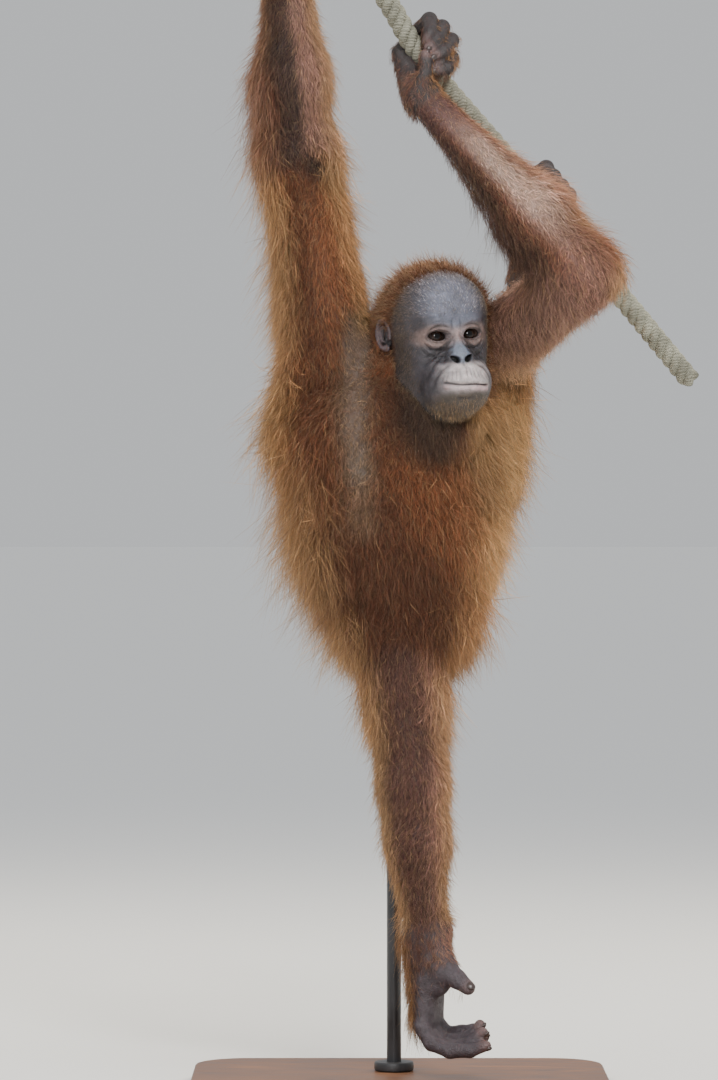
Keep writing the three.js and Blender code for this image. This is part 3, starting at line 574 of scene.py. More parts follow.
@dataclass(frozen=True)
class Face:
    """Sizes of the face in millimetres along the head's left, front and up."""

    eye_apart: float = 19
    eye_front: float = 45.5
    eye_up: float = -8
    eye_radius: float = 12
    opening_half: float = 9.8
    opening_above: float = 5.6
    opening_below: float = 4.8
    mouth_left: float = 1.5
    mouth_up: float = -62.5
    mouth_half: float = 25
    mouth_lift: float = 1.0
    mouth_tilt: float = -0.09
    nostril_apart: float = 7.6
    nostril_up: float = -34
    nostril_half: float = 6.2
    nostril_high: float = 3.4
    nostril_tilt: float = 36

    def eye(self, side: int) -> Points:
        """The middle of an eyeball."""
        return HEAD.place(side * self.eye_apart, self.eye_front, self.eye_up)

    def nostril(self, q: Points, side: int) -> Points:
        """How far out each point of the face lies from a nostril's middle: 1 at its edge.

        Args:
            q: Points in the head's own millimetres.
            side: 1 for the left nostril and -1 for the right one.

        Returns:
            One value for each point.
        """
        x = (q[:, 0] - side * self.nostril_apart) * side
        y = q[:, 2] - self.nostril_up
        tilt = math.radians(self.nostril_tilt)
        along = (x * math.cos(tilt) + y * math.sin(tilt)) / self.nostril_half
        high = self.nostril_high * (1 - 0.3 * np.clip(along, -1, 1))
        over = (y * math.cos(tilt) - x * math.sin(tilt)) / high
        return np.hypot(along, over)

    def mouth_line(self, left: Points) -> Points:
        """The height of the mouth's line at a place across it, from the mouth's middle."""
        wave = 0.45 * np.sin(left / 4.5)
        return self.mouth_up + self.mouth_lift * (left / self.mouth_half) ** 2 + self.mouth_tilt * left + wave


FACE = Face()


@dataclass(frozen=True)
class Ear:
    """A small ear: a cup with a rolled rim that stands out from the side of the head and faces forward."""

    side: int
    apart: float = 53.5
    front: float = -8
    up: float = -1
    half: float = 9.0
    half_height: float = 15.5
    swing: float = 34

    def middle(self) -> Points:
        """Where the ear grows from the head."""
        return HEAD.place(self.side * self.apart, self.front, self.up)

    def facing(self) -> Facing:
        """The ear's own directions: left is out of the cup, and front runs to the face."""
        turn = math.radians(self.swing)
        out = HEAD.left * self.side
        cup = out * math.cos(turn) + HEAD.front * math.sin(turn)
        ahead = HEAD.front * math.cos(turn) - out * math.sin(turn)
        return Facing(cup, ahead, HEAD.up, self.middle() + out * 0.003)

    def form(self) -> Form:
        """A cup, its rolled rim, the inner ridge, the flap before the opening and the lobe."""
        facing = self.facing()
        at = facing.place

        def arc(start: float, end: float, count: int, grow: float, out: float) -> list[Points]:
            """Places on an oval round the cup."""
            turns = [math.radians(start + (end - start) * i / (count - 1)) for i in range(count)]
            wide, high = self.half * grow, self.half_height * grow
            return [at(out, wide * math.cos(t), high * math.sin(t) + 0.6) for t in turns]

        rim_radii = [1.6, 1.9, 2.1, 2.3, 2.3, 2.2, 2.1, 2.0, 2.0, 2.0, 2.2, 2.4]
        rim = chain(arc(-20, 262, len(rim_radii), 1.0, 3.2), rim_radii, 1)
        ridge_radii = [1.2, 1.5, 1.6, 1.6, 1.5, 1.3]
        ridge = chain(arc(75, 235, len(ridge_radii), 0.58, 1.6), ridge_radii, 1)
        cup = egg(at(-1.6, -0.5, 0.5), (2.6, 9.6, 15), facing)
        root = egg(at(-5, 2.5, 0), (7, 7, 12), facing)
        flap = egg(at(1.4, 6.2, -3), (2.4, 2.2, 3.4), facing)
        lobe = egg(at(1.6, 1.6, -14.6), (2.2, 4.2, 3.8), facing)
        whole = Together(0.0022, (cup, root, rim, ridge, flap, lobe))
        hollow = egg(at(1.2, 2.2, -2.5), (4.2, 3.6, 5.6), facing)
        return boxed(Without(whole, hollow, 0.0015), [self.middle()], 26)


EARS = (Ear(-1), Ear(1))


def skull() -> Form:
    """The head without its ears, with its lips and the wings of its nose."""
    at = HEAD.place
    shape = Together(
        0.014,
        (
            egg(at(0, -2, 8), (54, 64, 56), HEAD),
            egg(at(0, 18, 22), (46, 44, 38), HEAD),
            egg(at(0, 24, -24), (45, 38, 40), HEAD),
            egg(at(1, 50, -57), (38, 36, 28), HEAD),
            egg(at(1, 40, -73), (33, 37, 25), HEAD),
            egg(at(0, 4, -50), (47, 44, 40), HEAD),
            bone(at(-22, 50, 5), at(22, 50, 5), 11, 11),
            bone(at(0, 54, -8), at(0, 68, -30), 7, 9),
        ),
    )
    lids = [egg(FACE.eye(side), (14.2, 14.2, 14.2), HEAD) for side in (-1, 1)]
    wings = [egg(at(side * 7.4, 70.5, -32.5), (7.6, 6.5, 5.8), HEAD) for side in (-1, 1)]
    return boxed(Together(0.004, (shape, *lids, *wings)), [HEAD.place(0, 8, -16)], 125)


TORSO = Together(
    0.026,
    (
        egg(mm(12, 14, 546), (68, 56, 70), CHEST),
        egg(mm(1, 2, 634), (101, 78, 92), CHEST),
        egg(mm(-2, 2, 712), (112, 78, 102), CHEST),
        egg(mm(6, 26, 792), (100, 54, 56), CHEST),
        bone(mm(-84, -16, 880), mm(-100, -12, 730), 32, 30),
        bone(mm(104, 40, 800), mm(92, 40, 690), 30, 30),
    ),
)
NECK = Together(
    0.026,
    (
        bone(mm(16, 8, 800), HEAD.place(0, -4, -30), 50, 46),
        egg(mm(40, -44, 752), (44, 36, 50), HEAD),
    ),
)


def body_parts() -> dict[Part, Form]:
    """Every region's own flesh."""
    left_heel_of_hand = [bone(JOINT.left_wrist, mm(24, -62, 1108), 15, 8)]
    left_heel = [bone(JOINT.left_ankle, mm(143, 66, 886), 17, 15)]
    right_sole = Together(
        0.014,
        (
            bone(JOINT.right_ankle, on_foot(-15, 1, 80), 19, 10),
            bone(JOINT.right_ankle, on_foot(0, 0, 78), 19, 10),
            bone(JOINT.right_ankle, on_foot(15, 1, 82), 19, 10),
            bone(JOINT.right_ankle, on_foot(0, 10, 184), 18, 13),
            bone(on_foot(-10, 6, 128), on_foot(-14, 22, 118), 12, 8),
            bone(on_foot(-8, 4, 150), on_foot(-15, 26, 134), 15, 11),
            bone(on_foot(-6, 12, 168), on_foot(-16, 34, 136), 9, 10),
        ),
    )
    foot_spots = [JOINT.right_ankle, on_foot(0, 20, 182), on_foot(0, 0, 76)]
    right_palm = palm(JOINT.right_wrist, RIGHT_FINGERS, [], 16)
    left_palm = palm(JOINT.left_wrist, LEFT_FINGERS, left_heel_of_hand, 16)
    left_sole = palm(JOINT.left_ankle, LEFT_TOES, left_heel, 18)

    def extremity(flat: Form, rows: list[Digit], thumb: Digit) -> Form:
        """A palm or sole with its digits."""
        return Together(0.0025, (flat, *(digit.form() for digit in (*rows, thumb))))

    return {
        Part.TORSO: TORSO,
        Part.NECK: NECK,
        Part.HEAD: skull(),
        Part.RIGHT_ARM: arm(JOINT.right_shoulder, JOINT.right_elbow, JOINT.right_wrist),
        Part.LEFT_ARM: arm(JOINT.left_shoulder, JOINT.left_elbow, JOINT.left_wrist),
        Part.RIGHT_LEG: leg(JOINT.right_hip, JOINT.right_knee, JOINT.right_ankle),
        Part.LEFT_LEG: leg(JOINT.left_hip, JOINT.left_knee, JOINT.left_ankle),
        Part.RIGHT_HAND: extremity(right_palm, RIGHT_FINGERS, RIGHT_THUMB),
        Part.LEFT_HAND: extremity(left_palm, LEFT_FINGERS, LEFT_THUMB),
        Part.RIGHT_FOOT: extremity(boxed(right_sole, foot_spots, 45), RIGHT_TOES, RIGHT_HALLUX),
        Part.LEFT_FOOT: extremity(left_sole, LEFT_TOES, LEFT_HALLUX),
        Part.EARS: Together(0.001, tuple(ear.form() for ear in EARS)),
    }


PARTS = body_parts()


@dataclass(frozen=True)
class Body(Form):
    """The whole body: the trunk and limbs run together widely, the head, hands and feet narrowly."""

    def distance(self, p: Points) -> Points:
        """The distance of each point from the skin."""
        trunk = PARTS[Part.TORSO].distance(p)
        for part, fillet in (
            (Part.NECK, 0.026),
            (Part.RIGHT_ARM, 0.026),
            (Part.LEFT_ARM, 0.020),
            (Part.RIGHT_LEG, 0.026),
            (Part.LEFT_LEG, 0.016),
            (Part.HEAD, 0.010),
            (Part.RIGHT_HAND, 0.008),
            (Part.LEFT_HAND, 0.006),
            (Part.RIGHT_FOOT, 0.008),
            (Part.LEFT_FOOT, 0.006),
        ):
            trunk = melt(trunk, PARTS[part].distance(p), fillet)
        return trunk

    def add_to(self, bm: bmesh.types.BMesh) -> None:
        """Adds every part but the ears, which are made finer."""
        for part, form in PARTS.items():
            if part is not Part.EARS:
                form.add_to(bm)


BODY = Body()


def nearest_part(p: Points) -> Points:
    """The number of the part whose flesh each point is nearest to."""
    reach = np.stack([PARTS[part].distance(p) for part in Part], axis=-1)
    return np.where(reach[:, Part.EARS.value] < 0.0008, Part.EARS.value, reach.argmin(axis=1))


# Colours and finishes.

Triple = tuple[float, float, float]
MIX_FACTOR, MIX_FIRST, MIX_SECOND = 0, 6, 7
MIX_COLOUR = 2


def srgb(red: int, green: int, blue: int) -> Points:
    """A colour picked on a screen, as the shader's linear values."""
    c = np.array((red, green, blue)) / 255
    return np.where(c <= 0.04045, c / 12.92, ((c + 0.055) / 1.055) ** 2.4)


class Nodes:
    """A small helper that builds the node tree of one material."""

    def __init__(self, name: str) -> None:
        """Starts a material with a Principled shader."""
        self.material = bpy.data.materials.new(name)
        self.material.use_nodes = True
        self.tree = self.material.node_tree
        self.shader = self.tree.nodes["Principled BSDF"]

    def add(self, kind: str, **values: object) -> bpy.types.Node:
        """Adds a node and sets its properties or sockets.

        Args:
            kind: The node's type.
            values: Properties by name, or socket values by name with spaces as underscores.

        Returns:
            The node.
        """
        node = self.tree.nodes.new(kind)
        for key, value in values.items():
            if hasattr(node, key):
                setattr(node, key, value)
            else:
                node.inputs[key.replace("_", " ")].default_value = value
        return node

    def link(self, start: bpy.types.NodeSocket, end: bpy.types.NodeSocket) -> None:
        """Links two sockets."""
        self.tree.links.new(start, end)

    def set(self, **values: object) -> None:
        """Sets the shader's own sockets."""
        for key, value in values.items():
            self.shader.inputs[key.replace("_", " ")].default_value = value

    def place(self, scale: Triple = (1, 1, 1)) -> bpy.types.NodeSocket:
        """Object coordinates through a scale."""
        coordinates = self.add("ShaderNodeTexCoord")
        mapping = self.add("ShaderNodeMapping", Scale=scale)
        self.link(coordinates.outputs["Object"], mapping.inputs["Vector"])
        return mapping.outputs["Vector"]

    def noise(self, scale: float, detail: float, vector: bpy.types.NodeSocket) -> bpy.types.NodeSocket:
        """A noise pattern, as its factor."""
        node = self.add("ShaderNodeTexNoise", Scale=scale, Detail=detail)
        self.link(vector, node.inputs["Vector"])
        return node.outputs["Fac"]

    def spread(self, factor: bpy.types.NodeSocket, low: float, high: float) -> bpy.types.NodeSocket:
        """A factor stretched to the values from low to high."""
        node = self.add("ShaderNodeMapRange", From_Min=0.3, From_Max=0.7, To_Min=low, To_Max=high)
        self.link(factor, node.inputs["Value"])
        return node.outputs["Result"]

    def shade(self, colour: bpy.types.NodeSocket, value: bpy.types.NodeSocket) -> bpy.types.NodeSocket:
        """A colour with its value multiplied."""
        node = self.add("ShaderNodeHueSaturation")
        self.link(colour, node.inputs["Color"])
        self.link(value, node.inputs["Value"])
        return node.outputs["Color"]

    def between(self, factor: bpy.types.NodeSocket, first: Points, second: Points) -> bpy.types.NodeSocket:
        """A colour from first to second, by a factor."""
        node = self.add("ShaderNodeMix", data_type="RGBA")
        node.inputs[MIX_FIRST].default_value = (*first, 1)
        node.inputs[MIX_SECOND].default_value = (*second, 1)
        self.link(factor, node.inputs[MIX_FACTOR])
        return node.outputs[MIX_COLOUR]

    def bump(self, heights: list[tuple[bpy.types.NodeSocket, float]], distance: float) -> None:
        """Adds heights, each with its weight, and links them as bump."""
        total = None
        for height, weight in heights:
            scaled = self.add("ShaderNodeMath", operation="MULTIPLY")
            self.link(height, scaled.inputs[0])
            scaled.inputs[1].default_value = weight
            if total is None:
                total = scaled.outputs[0]
                continue
            both = self.add("ShaderNodeMath", operation="ADD")
            self.link(total, both.inputs[0])
            self.link(scaled.outputs[0], both.inputs[1])
            total = both.outputs[0]
        node = self.add("ShaderNodeBump", Distance=distance, Strength=1.0)
        self.link(total, node.inputs["Height"])
        self.link(node.outputs["Normal"], self.shader.inputs["Normal"])


@dataclass(frozen=True)
class CoatFinish:
    """Hair: each tuft's painted colour, with painted shade at its root and painted light at its tip, fine
    streaks and a soft sheen.
    """

    roughness: float = 0.55
    sheen: float = 0.35

    def material(self) -> bpy.types.Material:
        """Builds the finish."""
        n = Nodes("hair")
        colour = n.add("ShaderNodeAttribute", attribute_name="tint").outputs["Color"]
        streaks = n.noise(900, 2, n.place((1, 1, 0.12)))
        n.link(n.shade(colour, n.spread(streaks, 0.8, 1.2)), n.shader.inputs["Base Color"])
        n.set(Roughness=self.roughness, Specular_IOR_Level=0.35, Sheen_Weight=self.sheen)
        n.set(Sheen_Roughness=0.4, Sheen_Tint=(1.0, 0.72, 0.42, 1))
        return n.material


@dataclass(frozen=True)
class SkinFinish:
    """Bare skin: its painted colours, with painted shade and highlights among the markings, and mottling,
    fine creases and pores.
    """

    roughness: float = 0.52

    def material(self) -> bpy.types.Material:
        """Builds the finish."""
        n = Nodes("skin")
        colour = n.add("ShaderNodeAttribute", attribute_name="tint").outputs["Color"]
        place = n.place()
        mottle = n.noise(160, 4, place)
        fine = n.noise(900, 3, place)
        patchy = n.shade(colour, n.spread(mottle, 0.76, 1.24))
        n.link(n.shade(patchy, n.spread(fine, 0.84, 1.16)), n.shader.inputs["Base Color"])
        n.link(n.spread(n.noise(90, 3, place), self.roughness - 0.1, self.roughness + 0.1),
               n.shader.inputs["Roughness"])
        creases = n.add("ShaderNodeTexVoronoi", feature="DISTANCE_TO_EDGE", Scale=520)
        n.link(place, creases.inputs["Vector"])
        pores, pits = n.noise(380, 5, place), n.noise(130, 4, place)
        n.bump([(creases.outputs["Distance"], 0.7), (pores, 1.0), (pits, 0.9)], 0.0012)
        n.set(Specular_IOR_Level=0.45, Subsurface_Weight=0.08, Subsurface_Scale=0.004)
        return n.material


def as_mesh(bm: bmesh.types.BMesh, name: str, smooth: bool = False) -> bpy.types.Mesh:
    """Turns a working mesh into a stored one, with smooth faces where wanted."""
    mesh = bpy.data.meshes.new(name)
    bm.to_mesh(mesh)
    bm.free()
    if smooth:
        for face in mesh.polygons:
            face.use_smooth = True
    return mesh


def new_object(name: str, data: bpy.types.ID) -> bpy.types.Object:
    """Puts a mesh, light or camera into the scene."""
    made = bpy.data.objects.new(name, data)
    bpy.context.scene.collection.objects.link(made)
    return made


def mesh_object(name: str, mesh: bpy.types.Mesh, material: bpy.types.Material) -> bpy.types.Object:
    """Links a mesh to the scene as a finished piece that rides on the model.

    Args:
        name: The piece's name.
        mesh: Its mesh, in place.
        material: Its finish.

    Returns:
        The piece.
    """
    mesh.materials.clear()
    mesh.materials.append(material)
    piece = new_object(name, mesh)
    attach(piece, "root")
    log.info("%s: %d triangles", name, sum(len(p.vertices) - 2 for p in mesh.polygons))
    return piece


def mesh_points(mesh: bpy.types.Mesh) -> Points:
    """The places of a mesh's vertices."""
    co = np.empty(len(mesh.vertices) * 3, np.float32)
    mesh.vertices.foreach_get("co", co)
    return co.reshape(-1, 3).astype(float)


def paint(mesh: bpy.types.Mesh, colours: Points) -> None:
    """Stores a colour at each vertex as the attribute that the finishes read."""
    attribute = mesh.attributes.new("tint", "FLOAT_COLOR", "POINT")
    whole = np.concatenate([colours, np.ones((len(colours), 1))], axis=1).astype(np.float32)
    attribute.data.foreach_set("color", whole.ravel())


def mix(a: Points, b: Points, share: Points) -> Points:
    """Colours between a and b, by a share for each row."""
    return a + (b - a) * np.asarray(share)[..., None]


def grain(p: Points, scale: float, seed: int = 0) -> Points:
    """Smooth random values from -1 to 1 over space, made of a few waves."""
    draw = np.random.default_rng(seed)
    total = np.zeros(len(p))
    for _ in range(5):
        direction = unit(draw.normal(size=3))
        total += np.sin(p @ direction * scale * draw.uniform(0.6, 1.5) + draw.uniform(0, 6.28))
    return total / 2.5


@dataclass(frozen=True)
class Tones:
    """The colours of the coat, the bare skin and the eyes, some of them also used as painted light and shade.
    """

    rust: Points = field(default_factory=lambda: srgb(122, 65, 38))
    dark: Points = field(default_factory=lambda: srgb(80, 39, 25))
    orange: Points = field(default_factory=lambda: srgb(160, 98, 64))
    mauve: Points = field(default_factory=lambda: srgb(86, 54, 53))
    stripe: Points = field(default_factory=lambda: srgb(58, 38, 38))
    tan: Points = field(default_factory=lambda: srgb(164, 122, 110))
    pale: Points = field(default_factory=lambda: srgb(224, 192, 174))
    gold: Points = field(default_factory=lambda: srgb(220, 176, 122))
    band: Points = field(default_factory=lambda: srgb(150, 106, 64))
    crown: Points = field(default_factory=lambda: srgb(104, 60, 40))
    throat: Points = field(default_factory=lambda: srgb(42, 30, 28))
    grey: Points = field(default_factory=lambda: srgb(70, 60, 56))
    down: Points = field(default_factory=lambda: srgb(136, 134, 142))
    ear: Points = field(default_factory=lambda: srgb(78, 64, 66))
    slate: Points = field(default_factory=lambda: srgb(62, 58, 62))
    brow: Points = field(default_factory=lambda: srgb(106, 109, 124))
    blue: Points = field(default_factory=lambda: srgb(120, 128, 143))
    ring: Points = field(default_factory=lambda: srgb(138, 114, 106))
    muzzle: Points = field(default_factory=lambda: srgb(196, 184, 182))
    chin: Points = field(default_factory=lambda: srgb(74, 64, 54))
    lip: Points = field(default_factory=lambda: srgb(190, 158, 158))
    shade: Points = field(default_factory=lambda: srgb(34, 28, 30))
    bare: Points = field(default_factory=lambda: srgb(118, 100, 84))
    palm: Points = field(default_factory=lambda: srgb(54, 47, 47))
    sole: Points = field(default_factory=lambda: srgb(74, 65, 69))
    tip: Points = field(default_factory=lambda: srgb(112, 88, 84))
    eye_white: Points = field(default_factory=lambda: srgb(52, 40, 35))
    iris_rim: Points = field(default_factory=lambda: srgb(30, 18, 12))
    iris: Points = field(default_factory=lambda: srgb(42, 28, 20))
    pupil: Points = field(default_factory=lambda: srgb(6, 5, 5))


TONES = Tones()


def ball_mask(p: Points, middle: Points, radius: float, soft: float) -> Points:
    """1 within a radius of a place, and 0 beyond it by the soft width, in millimetres."""
    return 1 - ease(off_spot(p, middle), radius, radius + soft)


def front_mask(p: Points, spots: tuple[tuple[float, float], ...], radius: float, soft: float) -> Points:
    """1 near a path of [left, up] places as seen from the front, and 0 beyond it, in millimetres."""
    flat = p * (1, 0, 1)
    near = np.full(len(p), 1e9)
    for start, end in zip(spots, spots[1:]):
        line = Bone(mm(start[0], 0, start[1]), mm(end[0], 0, end[1]), 0, 0)
        near = np.minimum(near, line.distance(flat) * 1000)
    return 1 - ease(near, radius, radius + soft)


@dataclass(frozen=True)
class Marking:
    """A tone along a path over the animal's front, with its width and strength. Some are the coat's own
    tones, and some are painted light and painted shade.
    """

    tone: str
    spots: tuple[tuple[float, float], ...]
    radius: float
    soft: float
    amount: float

    def share(self, p: Points) -> Points:
        """How much of the tone each place takes."""
        return self.amount * front_mask(p, self.spots, self.radius, self.soft)


WORN_BAND = ((-47, 850), (-50, 728), (-44, 690))
UNDER_LEFT_ARM = unit(np.array((-0.75, 0, -0.66)))
# The trunk's tones, with painted rim light down its outlines.
TRUNK_TONES_AND_LIGHT = (
    Marking("dark", ((-30, 606), (4, 520)), 48, 40, 0.95),
    Marking("dark", ((-90, 580), (-60, 510)), 8, 22, 0.75),
    Marking("dark", ((-86, 790), (-84, 700), (-66, 600)), 10, 24, 0.7),
    Marking("dark", ((-20, 780), (-16, 690)), 6, 22, 0.6),
    Marking("orange", ((62, 716), (74, 640)), 18, 34, 0.7),
    Marking("rust", ((30, 680), (36, 640)), 20, 30, 0.6),
    Marking("orange", ((92, 560), (76, 510)), 8, 26, 0.5),
    # Painted rim light: golden bands down the trunk's left outline, as backlit hair.
    Marking("band", ((-140, 780), (-134, 670)), 16, 24, 0.85),
    Marking("band", ((-136, 670), (-120, 570)), 10, 20, 0.8),
    Marking("band", ((-102, 545), (-76, 500)), 8, 20, 0.6),
    # Painted light: gold down the trunk's right side, the side that the sun lights.
    Marking("gold", ((116, 760), (116, 650), (106, 590)), 14, 26, 0.9),
    Marking("bare", WORN_BAND, 9, 18, 0.8),
    Marking("bare", ((-46, 690), (-42, 640)), 4, 26, 0.5),
    Marking("throat", ((20, 772), (20, 748), (34, 728), (54, 752)), 14, 34, 0.85),
)
# Painted shade under the left arm, where it meets the trunk.
ARMPIT = Marking("dark", ((80, 748), (86, 672)), 9, 13, 0.9)
# The right arm's tones, with painted rim light down its left outline and painted shade in the elbow's pit.
RIGHT_ARM_TONES_AND_LIGHT = (
    Marking("tan", ((-100, 1300), (-94, 1130), (-80, 1040)), 20, 20, 0.9),
    Marking("mauve", ((-152, 1300), (-150, 1100), (-140, 1040)), 8, 14, 0.6),
    # Painted rim light: a tan band down the forearm's left outline, as backlit hair.
    Marking("tan", ((-172, 1300), (-170, 1040)), 14, 16, 0.7),
    Marking("stripe", ((-136, 1300), (-132, 1190), (-126, 1140)), 6, 11, 0.85),
    Marking("stripe", ((-128, 1150), (-120, 1090), (-118, 1030)), 8, 11, 0.95),
    Marking("orange", ((-76, 1000), (-64, 880)), 14, 26, 0.4),
    # Painted rim light: a golden band down the upper arm's left outline, as backlit hair.
    Marking("band", ((-154, 1000), (-150, 800)), 12, 22, 0.8),
    Marking("dark", ((-112, 1000), (-116, 900), (-100, 800)), 8, 26, 0.55),
    Marking("band", ((-84, 1034), (-78, 1010)), 6, 10, 0.6),
    # Painted shade: the elbow's pit darkened, with a darker core.
    Marking("dark", ((-98, 1024), (-92, 1020)), 9, 8, 0.95),
    Marking("shade", ((-96, 1022), (-93, 1020)), 4, 7, 0.8),
    Marking("bare", ((-47, 850), (-50, 728)), 9, 18, 0.8),
)
RIGHT_LEG_MARKINGS = (
    Marking("mauve", ((-10, 520), (4, 420), (8, 300), (16, 190), (20, 100)), 20, 16, 0.9),
    Marking("tan", ((38, 500), (46, 400), (50, 260), (54, 140)), 7, 20, 0.65),
)


def coat_tint(p: Points, part: Points, out: Points) -> Points:
    """The colour of the coat over each place of the skin, with painted light and shade among its tones.

    Args:
        p: Places on the skin.
        part: The number of the part at each place.
        out: The direction out of the skin there.

    Returns:
        One colour for each place.
    """
    colour = np.tile(TONES.rust, (len(p), 1))
    front = ease(-out[:, 1], -0.25, 0.35)
    trunk = is_on(part, (Part.TORSO, Part.NECK, Part.RIGHT_ARM))
    colour = mix(colour, TONES.dark, 0.5 * np.where(trunk, 1 - front, 0))
    for parts, markings in (
        ((Part.TORSO, Part.NECK), TRUNK_TONES_AND_LIGHT),
        ((Part.RIGHT_ARM,), RIGHT_ARM_TONES_AND_LIGHT),
        ((Part.RIGHT_LEG, Part.RIGHT_FOOT), RIGHT_LEG_MARKINGS),
    ):
        here = is_on(part, parts) * front
        for mark in markings:
            colour = mix(colour, getattr(TONES, mark.tone), here * mark.share(p))
    arm = is_on(part, (Part.LEFT_ARM, Part.LEFT_HAND))
    wrist = off_spot(p, JOINT.left_wrist)
    low = out @ UNDER_LEFT_ARM
    away = ease(off_spot(p, JOINT.left_elbow), 20, 120)
    # Painted light and shade on the left arm, by how each place faces: tan, pale and orange where it faces up
    # and out, the stripe tone on its underside.
    colour = mix(colour, TONES.tan, arm * (0.35 + 0.6 * away) * ease(-low, -0.6, 0.1))
    lit = arm * 0.9 * ease(-low, -0.35, 0.15) * (1 - 0.6 * ease(-low, 0.6, 0.9))
    colour = mix(colour, TONES.pale, lit * away * ease(wrist, 40, 120))
    colour = mix(colour, TONES.orange, arm * 0.55 * ease(-low, 0.6, 0.95))
    colour = mix(colour, TONES.stripe, arm * 0.85 * ease(low, 0.15, 0.8))
    colour = mix(colour, TONES.tan, arm * 0.6 * (1 - ease(p[:, 2] * 1000, 860, 930)))
    # Painted light: gold on the left arm next to the trunk's lit right side.
    below = arm * (1 - ease(p[:, 2] * 1000, 780, 840)) * ease(p[:, 0] * 1000, 85, 110)
    colour = mix(colour, TONES.gold, 0.6 * below)
    # Painted shade under the left arm.
    colour = mix(colour, TONES.dark, ARMPIT.share(p) * front)
    head = part == Part.HEAD.value
    colour = mix(colour, TONES.crown, np.where(head, 1.0, 0.0))
    hands = is_on(part, HANDS_AND_FEET)
    ends = (JOINT.right_ankle, JOINT.left_ankle, JOINT.right_wrist, JOINT.left_wrist)
    near = np.min([off_spot(p, spot) for spot in ends], axis=0)
    colour = mix(colour, TONES.stripe, hands * 0.8 * ease(near, 20, 75))
    colour = mix(colour, TONES.mauve, arm * 0.75 * (1 - ease(wrist, 25, 90)))
    knuckles = (part == Part.LEFT_HAND.value) * ease(out[:, 0], 0.3, 0.9)
    colour = mix(colour, TONES.band, 0.7 * knuckles)
    fringe = (part == Part.RIGHT_FOOT.value) * ease(-(out @ SOLE), 0.3, 0.9)
    colour = mix(colour, TONES.band, 0.8 * fringe)
    neck = (part == Part.NECK.value) * front * (1 - ease(p[:, 0] * 1000, 42, 78))
    colour = mix(colour, TONES.throat, 0.55 * neck * ease(p[:, 0] * 1000, -30, 10))
    # Painted rim light: hair whose surface faces sideways is mixed towards gold, as backlit hair at the
    # outline; not on the head, hands, feet or throat, nor on the left arm's side that faces -X, and less on
    # the right forearm's left side.
    edge = ease(np.abs(out[:, 0]), 0.55, 0.98) * ~head * ~hands * (1 - neck) * (1 - arm * (out[:, 0] < 0))
    forearm = 0.8 * (part == Part.RIGHT_ARM.value) * (out[:, 0] < 0) * ease(p[:, 2] * 1000, 1000, 1060)
    edge = edge * (1 - forearm)
    colour = mix(colour, TONES.gold, 0.48 * edge)
    return colour * (1 + 0.12 * grain(p, 60, 3))[:, None]


@dataclass(frozen=True)
class Fold:
    """A crease or ridge of the face: a path of [left, up] places, its width and height in millimetres."""

    path: tuple[tuple[float, float], ...]
    width: float
    height: float
    mirrored: bool = True

    def lift(self, q: Points) -> Points:
        """How far the fold lifts each point of the face, given in the head's own millimetres."""
        total = np.zeros(len(q))
        for side in (1, -1) if self.mirrored else (1,):
            near = np.full(len(q), 1e9)
            run = np.zeros(len(q))
            spots = np.array(self.path)
            for i in range(len(spots) - 1):
                a, b = spots[i], spots[i + 1]
                w = np.stack([q[:, 0] * side, q[:, 2]], axis=-1) - a
                span = b - a
                share = np.clip(w @ span / (span @ span), 0, 1)
                off = np.linalg.norm(w - share[:, None] * span, axis=1)
                run = np.where(off < near, (i + share) / (len(spots) - 1), run)
                near = np.minimum(near, off)
            fade = np.sqrt(np.clip(4 * run * (1 - run) + 0.15, 0, 1))
            total += self.height * fade * np.exp(-((near / self.width) ** 2))
        return total


FOLDS = (
    Fold(((8, -15.5), (13, -18.6), (20, -19.6), (27, -17), (31, -12)), 1.6, 1.5),
    Fold(((9, -19.5), (14, -22.5), (21, -23.5), (28, -21), (33, -15)), 1.1, -1.7),
    Fold(((8, -22), (14, -26), (21, -27), (29, -24.5), (34, -18)), 1.5, 1.4),
    Fold(((9, -25), (15, -30), (23, -31), (31, -28), (36, -21)), 1.0, -1.3),
    Fold(((12, -32), (19, -35.5), (28, -34)), 1.0, -0.9),
    Fold(((8.5, 0.6), (14, 2.6), (20, 2.8), (27, 0.4), (31, -4.6)), 1.0, -1.5),
    Fold(((9, 3.6), (15, 5.6), (22, 5.4), (29, 2)), 1.4, 0.9),
    Fold(((7, 9), (14, 11), (22, 10.5), (30, 6)), 4.0, 1.6),
    Fold(((7, -12), (12, -18), (19, -24.5), (27, -31), (34, -37)), 1.5, -2.4),
    Fold(((11, -14.5), (18, -20.5), (26, -26), (34, -30)), 1.1, -1.5),
    Fold(((9, -20), (15, -27), (22, -33), (29, -40)), 1.1, -1.5),
    Fold(((4, -6), (5.5, -16), (10, -26)), 1.4, -1.2),
    Fold(((14, -40), (24, -45), (31, -55), (33, -66)), 1.6, -1.5),
    Fold(((27, -38), (34, -48), (37, -60)), 1.5, -1.0),
    Fold(((0, -2), (0, -12), (0, -24)), 3.2, 1.0, False),
    Fold(((0, -37), (0, -42)), 0.9, -1.3, False),
    Fold(((1.5, -43), (1.5, -57)), 0.8, -1.0, False),
    Fold(((5.5, -44), (6.5, -57)), 0.7, -0.9),
    Fold(((9.5, -45), (11, -57)), 0.7, -0.9),
    Fold(((13.5, -46), (16, -58)), 0.7, -0.8),
    Fold(((18, -48), (21, -59)), 0.7, -0.7),
    Fold(((22.5, -51), (26, -60)), 0.7, -0.6),
    Fold(((-10, -76), (0, -78), (10, -76)), 1.6, -1.3, False),
    Fold(((0, 12), (0, 24)), 3.0, -0.6, False),
    Fold(((4, 10), (5, 4), (4, -2)), 0.9, -1.0),
)


